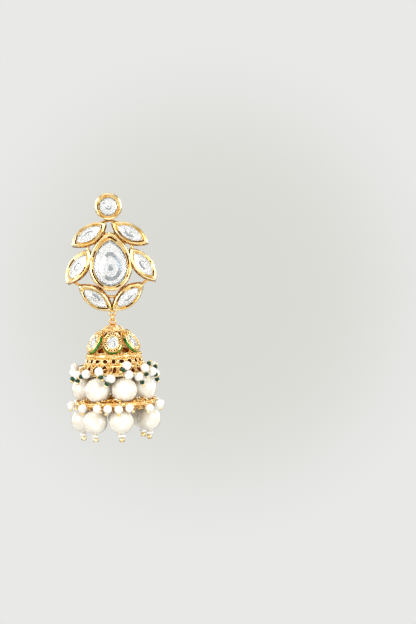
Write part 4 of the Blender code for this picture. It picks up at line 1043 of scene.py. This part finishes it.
def makeTier():
    top, bottom = hang["tierTop"], hang["tierBottom"]
    rimInner = tier["outer"] - tier["rimWidth"]
    rimTop = top + tier["rimRise"]
    rimBottom = rimTop - tier["rimHeight"]
    middle = (rimTop + rimBottom) / 2
    section = [(tier["inner"], bottom + 0.08), (tier["inner"], top - 0.08), (tier["inner"] + 0.1, top), (rimInner, top),
               (rimInner + 0.12, rimTop - 0.1), (rimInner + 0.3, rimTop - 0.02), (rimInner + 0.42, rimTop - 0.15),
               (tier["outer"] - 0.12, middle), (rimInner + 0.42, rimBottom + 0.15), (rimInner + 0.3, rimBottom + 0.02),
               (rimInner + 0.12, rimBottom + 0.1), (rimInner, bottom), (tier["inner"] + 0.1, bottom)]
    # the plate and its ropes take the darker gold: painted shade between the grains
    ring = turnedRings("tierPlate", [section], 168, goldRecessPaintedShade)
    outer = tier["outer"] - 0.2
    coils = ropes("tierRopes", [circlePath(outer - 0.12, rimTop - 0.16, 420), circlePath(outer - 0.12, rimBottom + 0.16, 420),
                                circlePath(tier["inner"] + 0.16, top + 0.05, 320)], 0.14, 84, goldRecessPaintedShade)
    spots = []
    count = 150
    for row, (r, z) in enumerate(((outer + 0.02, middle + 0.24), (outer + 0.02, middle - 0.24))):
        spots += [(roundAxis(r, 360 * (i + 0.5 * row) / count, z), Vector((0, 0, 1)), 1.0) for i in range(count)]
    for row, r in enumerate((8.7, 9.3, 9.9)):
        n = round(2 * math.pi * r / 0.62)
        for z in (top + 0.02, bottom - 0.02):
            spots += [(roundAxis(r, 360 * (i + 0.5 * (row % 2)) / n, z), Vector((0, 0, 1)), 0.95) for i in range(n)]
    rand = random.Random(7)
    around = [(roundAxis(pearlLook["upperCircle"], a, hang["upperPearls"]), pearlLook["upperRadius"]) for a in upperAngles]
    around += [(roundAxis(pearlLook["lowerCircle"], a, hang["lowerPearls"]), pearlLook["lowerRadius"]) for a in lowerAngles]
    shadedSeeds = []
    for i in range(1500):  # seed granules heaped unevenly on the ring, climbing between the pearls
        r = rand.uniform(tier["inner"] + 0.4, tier["outer"] - 0.15)
        z = rand.choice((top + tier["heap"] * rand.random(), bottom - tier["heap"] * rand.random()))
        spot, size = roundAxis(r, rand.uniform(0, 360), z), rand.uniform(1.0, 1.6)
        if all((spot - middle).length > radius + size * tier["grain"] for middle, radius in around):
            # half the granules take the darker gold: painted shade between the grains
            (spots if rand.random() < 0.5 else shadedSeeds).append((spot, Vector((0, 0, 1)), size))
    grains = beads("tierGrains", spots, {"radius": tier["grain"], "sides": 8, "material": goldFiligree})
    heaps = beads("tierSeedsShaded", shadedSeeds, {"radius": tier["grain"], "sides": 8, "material": goldRecessPaintedShade})
    paths = []
    for angle in upperAngles:
        paths.append(([roundAxis(pearlLook["upperCircle"], angle, (top + bottom) / 2),
                       roundAxis(pearlLook["upperCircle"], angle, hang["hemBottom"] + 0.35)], False))
    for angle in lowerAngles:
        paths.append(([roundAxis(pearlLook["lowerCircle"], angle, (top + bottom) / 2),
                       roundAxis(pearlLook["lowerCircle"], angle, hang["spacerTop"] - 1.2)], False))
    shafts = wires("pearlWires", paths, pearlLook["wire"], 10)
    # milk glass washer, then a gold bead that closes each wire
    washers = beads("pearlWashers", [(roundAxis(pearlLook["lowerCircle"], a, hang["spacerTop"] - 0.36), Vector((0, 0, 1)), 1.0)
                                     for a in lowerAngles], {"radius": 1.1, "length": 0.46, "sides": 20, "material": milkWasher})
    # a short gold tube closes each wire, squeezed a little askew
    tube = [(0.30, -0.52), (0.56, -0.55), (0.70, -0.42), (0.76, 0.0), (0.70, 0.42), (0.5, 0.55), (0.24, 0.5), (0.22, 0.0)]
    points, faces = [], []
    for a in lowerAngles:
        lean = Matrix.Rotation(rand.uniform(-0.45, 0.45), 4, "X") @ Matrix.Rotation(rand.uniform(-0.35, 0.35), 4, "Y")
        middle, first = roundAxis(pearlLook["lowerCircle"], a, hang["spacerTop"] - 1.45), len(points)
        for r, z in tube:
            points += [middle + lean @ Vector((r * math.cos(math.pi * i / 9), r * math.sin(math.pi * i / 9), z)) for i in range(18)]
        for row in range(len(tube)):
            low, high = first + row * 18, first + (row + 1) % len(tube) * 18
            faces += [(low + i, low + (i + 1) % 18, high + (i + 1) % 18, high + i) for i in range(18)]
    knobs = outwards(meshPiece("pearlEnds", points, faces, [goldPolished], smoothAngle=50))
    ready(ring, "bell", ["tier_ring"])
    for piece in (coils, grains, heaps, shafts, knobs):
        ready(piece, "bell")
    ready(washers, "bell")
    print("tier ring made")


makeTier()


# ---- pearls

def makePearls():
    for label, radius, circle, height, angles in (
            ("Upper", pearlLook["upperRadius"], pearlLook["upperCircle"], hang["upperPearls"], upperAngles),
            ("Lower", pearlLook["lowerRadius"], pearlLook["lowerCircle"], hang["lowerPearls"], lowerAngles)):
        steps, sides = 22, 36
        cut = math.asin(pearlLook["bore"] / radius)
        for index, angle in enumerate(angles):
            middle = roundAxis(circle, angle, height)
            points, faces = [], []
            rows = [(pearlLook["bore"] * 0.75, radius * math.cos(cut) - 0.35)]
            rows += [(radius * math.sin(t), radius * math.cos(t)) for t in
                     (cut + (math.pi - 2 * cut) * i / steps for i in range(steps + 1))]
            rows.append((pearlLook["bore"] * 0.75, -radius * math.cos(cut) + 0.35))
            for r, z in rows:
                points += [middle + Vector((r * math.cos(2 * math.pi * i / sides), r * math.sin(2 * math.pi * i / sides), z))
                           for i in range(sides)]
            for row in range(len(rows)):
                after = (row + 1) % len(rows)
                faces += [(row * sides + i, row * sides + (i + 1) % sides, after * sides + (i + 1) % sides, after * sides + i)
                          for i in range(sides)]
            name = "pearl%s%d" % (label, index + 1)
            obj = outwards(meshPiece(name, points, faces, [pearlEssence], smoothAngle=50))
            ready(obj, "bell", ["pearl_%s_%d" % (label.lower(), index + 1)])
    print("pearls made")


makePearls()


# ---- sprays of small beads

spray = {
    "upperBead": 1.3, "upperCircle": 11.4, "lowerBead": 1.22, "lowerCircle": 12.6, "knot": 0.4, "stem": 0.16,
    "root": 0.45, "green": 0.72, "gold": 0.44,
    "upper": (((-27.2, 0.82), (-5.4, 0.92), (16.3, 0.82)), ((-13.7, 0.68), (3.3, 1.09), (26.5, 0.38)),
              ((-22.5, 0.90), (-6.5, 1.06), (5.4, 0.60)), ((-26.5, 0.86), (-8.0, 1.06), (12.0, 0.66)),
              ((-17.0, 0.74), (0.0, 1.05), (17.0, 0.66)), ((-17.0, 0.62), (1.0, 1.04), (16.0, 0.84)),
              ((-16.0, 0.80), (-1.0, 1.06), (9.5, 0.58))),
    "lower": (((-78.0, 0.10), (-46.0, 0.55)), ((-23.0, 0.50), (-9.0, 0.60)), ((5.0, 0.75), (19.0, 0.55)),
              ((50.0, 1.00), (72.0, 0.45)), ((98.0, 0.60), (116.0, 0.40)), ((146.0, 0.60), (164.0, 0.50)),
              ((-160.0, 0.60), (-118.0, 0.40))),
    # which way the green beads hang from each white one, as hours round a clock face in degrees
    "greenTurns": {(0, 0): (190,), (0, 1): (150,), (0, 2): (245,), (1, 0): (153,), (1, 1): (219,), (1, 2): (229,),
                   (2, 0): (), (2, 1): (155,), (2, 2): (47, 177), (3, 0): (45, 124), (3, 1): (153,), (3, 2): (200,)},
    "goldTurns": {(0, 0): (207,), (0, 1): (180,), (1, 0): (130,), (1, 1): (200,), (2, 0): (185,), (2, 1): (135,),
                  (3, 0): (225,), (3, 1): (135,)},
}


def clockWay(degrees, angle, lift):  # a direction in the surface of the bell, leaning out a little
    turn, at = math.radians(degrees), math.radians(angle)
    tangent = Vector((math.cos(at), math.sin(at), 0))
    radial = Vector((math.sin(at), -math.cos(at), 0))
    return (tangent * math.sin(turn) + Vector((0, 0, 1)) * math.cos(turn) + radial * lift).normalized()


def makeSprays():
    rand = random.Random(11)
    whites, greens, golds, stems = {"upper": [], "lower": []}, [], [], []
    for index, row in enumerate(spray["upper"]):
        middle = upperAngles[index] - 180 / 7
        knotTurn = middle + (row[0][0] + row[-1][0]) / 2
        carrier = bell["bandRadius"] + spray["root"] * (bell["hemRadius"] - bell["bandRadius"])
        knot = roundAxis(carrier + spray["knot"] + 0.2, knotTurn, hang["skirtTop"] - spray["root"] * bell["skirtHeight"])
        golds.append((knot, Vector((0, 0, 1)), 1.1))
        stems.append(([knot, roundAxis(carrier - 0.1, knotTurn, knot.z)], False))
        for k, (turn, depth) in enumerate(row):
            angle = middle + turn
            spot = roundAxis(spray["upperCircle"], angle, hang["skirtTop"] - depth * bell["skirtHeight"])
            whites["upper"].append((spot, (spot - knot).normalized(), 1.0))
            stems.append(([knot, spot], False))
            for clock in spray["greenTurns"].get((index, k), (rand.choice((140, 170, 200, 220)),)):
                way = clockWay(clock, angle, 0.25)
                seed = spot + way * (spray["upperBead"] + spray["green"] * 0.72)
                greens.append((seed, way, rand.uniform(0.93, 1.05)))
                golds.append((seed + way * (spray["green"] * 0.72 + spray["gold"] * 0.75), way, rand.uniform(0.9, 1.15)))
                stems.append(([spot, seed + way * spray["green"]], False))
    for index, row in enumerate(spray["lower"]):
        knotTurn = (row[0][0] + row[-1][0]) / 2
        knot = roundAxis(tier["outer"] + spray["knot"] + 0.2, knotTurn, hang["tierTop"])
        golds.append((knot, Vector((0, 0, 1)), 1.1))
        stems.append(([knot, roundAxis(tier["outer"] - 0.3, knotTurn, knot.z)], False))
        for k, (angle, depth) in enumerate(row):
            spot = roundAxis(spray["lowerCircle"], angle, hang["tierTop"] - spray["lowerBead"] * (depth + 0.35))
            whites["lower"].append((spot, (spot - knot).normalized(), 1.0))
            stems.append(([knot, spot], False))
            for clock in spray["goldTurns"].get((index, k), (rand.choice((150, 180, 210)),)):
                way = clockWay(clock, angle, 0.1)
                golds.append((spot + way * (spray["lowerBead"] + spray["gold"] * 0.6), way, rand.uniform(1.0, 1.25)))
    for label in ("upper", "lower"):
        name = "white%sBeads" % label.capitalize()
        made = beads(name, whites[label], {"radius": spray[label + "Bead"], "length": 0.94, "sides": 20, "material": whiteBead})
        ready(made, "bell", ["spray_%s_%d" % (label, k + 1) for k in range(7)])
    ready(beads("greenSeeds", greens, {"radius": spray["green"], "length": 0.78, "sides": 14, "material": emeraldBead}), "bell")
    ready(beads("goldSeeds", golds, {"radius": spray["gold"], "length": 0.85, "sides": 12, "material": goldPolished}), "bell")
    ready(wires("sprayStems", stems, spray["stem"], 7), "bell")
    print("sprays made")


makeSprays()


# ---- camera, floor and light

studio = {
    "pixel": 0.28, "stud": (108.2, 206.5), "roll": 2.06, "elevation": 3.3, "lens": 200, "frame": (416, 624),
    "backdrop": "#E9E9E8", "shadowHalo": "#DBDBD5", "haloDrop": 3.0, "haloEdge": math.cos(math.radians(4.2)), "floorDrop": 1.0, "floorSize": 1.4, "clutterScale": 1.9, "roomFront": 0.98, "roomSides": 0.95,
}


def makeCamera():
    data = bpy.data.cameras.new("camera")
    data.lens, data.sensor_width, data.sensor_fit = studio["lens"], 36.0, "AUTO"
    camera = bpy.data.objects.new("camera", data)
    bpy.context.scene.collection.objects.link(camera)
    e, roll = math.radians(studio["elevation"]), math.radians(studio["roll"])
    ahead = Vector((0, math.cos(e), -math.sin(e)))
    flatRight, flatUp = Vector((1, 0, 0)), Vector((0, math.sin(e), math.cos(e)))
    right = flatRight * math.cos(roll) - flatUp * math.sin(roll)
    up = flatRight * math.sin(roll) + flatUp * math.cos(roll)
    stud = Vector((0, -3.5, 0)) * mm
    width, height = studio["frame"]
    pixel = studio["pixel"] * mm
    target = stud - right * (studio["stud"][0] - width / 2) * pixel - up * (height / 2 - studio["stud"][1]) * pixel
    distance = height * pixel * studio["lens"] / 36.0
    camera.matrix_world = placeOf(target - ahead * distance, right, up, -ahead)
    data.clip_start, data.clip_end = 0.01, 50.0
    bpy.context.scene.camera = camera


def areaLight(name, azimuth, elevation, distance, size, power, colour="#FFFFFF"):
    data = bpy.data.lights.new(name, "AREA")
    data.shape, data.size, data.size_y, data.energy = "RECTANGLE", size[0], size[1], power
    data.color = hexColour(colour)[:3]
    lamp = bpy.data.objects.new(name, data)
    bpy.context.scene.collection.objects.link(lamp)
    a, e = math.radians(azimuth), math.radians(elevation)
    away = Vector((math.sin(a) * math.cos(e), -math.cos(a) * math.cos(e), math.sin(e)))
    middle = Vector((0, 0, -0.033))
    lamp.location = middle + away * distance
    lamp.rotation_euler = (-away).to_track_quat("-Z", "Y").to_euler()


def makeStudio():
    size, drop = studio["floorSize"], studio["floorDrop"]
    floor = meshPiece("floor", [(-size / mm, -size / mm, -drop / mm), (size / mm, -size / mm, -drop / mm),
                                (size / mm, size / mm, -drop / mm), (-size / mm, size / mm, -drop / mm)], [(0, 1, 2, 3)])
    material, tree, shader = surfaceOf("cardUncoated")  # matt white card with its faint fibre
    place = addNode(tree, "ShaderNodeTexCoord").outputs["Object"]
    fibre = addNode(tree, "ShaderNodeTexNoise", {"Vector": place, "Scale": 1 / (2.0 * mm), "Detail": 3.0})
    tree.links.new(colourMix(tree, fibre.outputs["Fac"], hexColour("#E2E2DE"), hexColour("#EAEAE7")), shader.inputs["Base Color"])
    shader.inputs["Roughness"].default_value = 0.9
    floor.data.materials.append(material)
    areaLight("softLeft", -50, 12, 0.6, (0.20, 0.48), 2.2)
    areaLight("softRight", 58, 12, 0.6, (0.20, 0.48), 2.4)
    areaLight("topSoft", 0, 72, 0.6, (0.45, 0.3), 0.6)
    areaLight("lowFill", 10, -48, 0.6, (0.5, 0.3), 0.55)
    areaLight("backLeft", -125, 15, 0.6, (0.3, 0.4), 0.8)
    areaLight("backRight", 125, 15, 0.6, (0.3, 0.4), 0.8)
    world = bpy.data.worlds.new("studio")
    bpy.context.scene.world = world
    world.use_nodes = True
    tree = world.node_tree
    tree.nodes.clear()
    way = addNode(tree, "ShaderNodeTexCoord").outputs["Generated"]
    clutter = addNode(tree, "ShaderNodeTexNoise", {"Vector": way, "Scale": studio["clutterScale"], "Detail": 1.5})
    dark = addNode(tree, "ShaderNodeMapRange", {"Value": clutter.outputs["Fac"], "From Min": 0.42, "From Max": 0.48})
    toFront = addNode(tree, "ShaderNodeVectorMath", {0: way, 1: (0, -1, 0)}, operation="DOT_PRODUCT")
    clear = addNode(tree, "ShaderNodeMapRange", {"Value": toFront.outputs["Value"], "From Min": 0.55, "From Max": 0.9})
    strength = addNode(tree, "ShaderNodeMapRange", {"Value": clear.outputs["Result"], "To Min": studio["roomSides"],
                                                    "To Max": studio["roomFront"]})
    lit = addNode(tree, "ShaderNodeMath", {0: dark.outputs["Result"], 1: clear.outputs["Result"]}, operation="MAXIMUM")
    tone = colourMix(tree, lit.outputs[0], hexColour("#4A3A28"), hexColour("#FFFEFA"))
    room = addNode(tree, "ShaderNodeBackground", {"Color": tone, "Strength": strength.outputs["Result"]})
    # the backdrop seen from the camera darkens softly round the object: a painted shadow
    e = math.radians(studio["haloDrop"])
    ahead = addNode(tree, "ShaderNodeVectorMath", {0: way, 1: (0, math.cos(e), -math.sin(e))}, operation="DOT_PRODUCT")
    shadowHalo = addNode(tree, "ShaderNodeMapRange", {"Value": ahead.outputs["Value"], "From Min": studio["haloEdge"],
                                                "From Max": 1.0}, interpolation_type="SMOOTHSTEP")
    paper = colourMix(tree, shadowHalo.outputs["Result"], hexColour(studio["backdrop"]), hexColour(studio["shadowHalo"]))
    plain = addNode(tree, "ShaderNodeBackground", {"Color": paper, "Strength": 1.0})
    path = addNode(tree, "ShaderNodeLightPath")
    both = addNode(tree, "ShaderNodeMixShader", {0: path.outputs["Is Camera Ray"], 1: room.outputs[0], 2: plain.outputs[0]})
    addNode(tree, "ShaderNodeOutputWorld", {"Surface": both.outputs[0]})
    bpy.context.scene.view_settings.view_transform = "Standard"
    print("studio made")


makeCamera()
makeStudio()
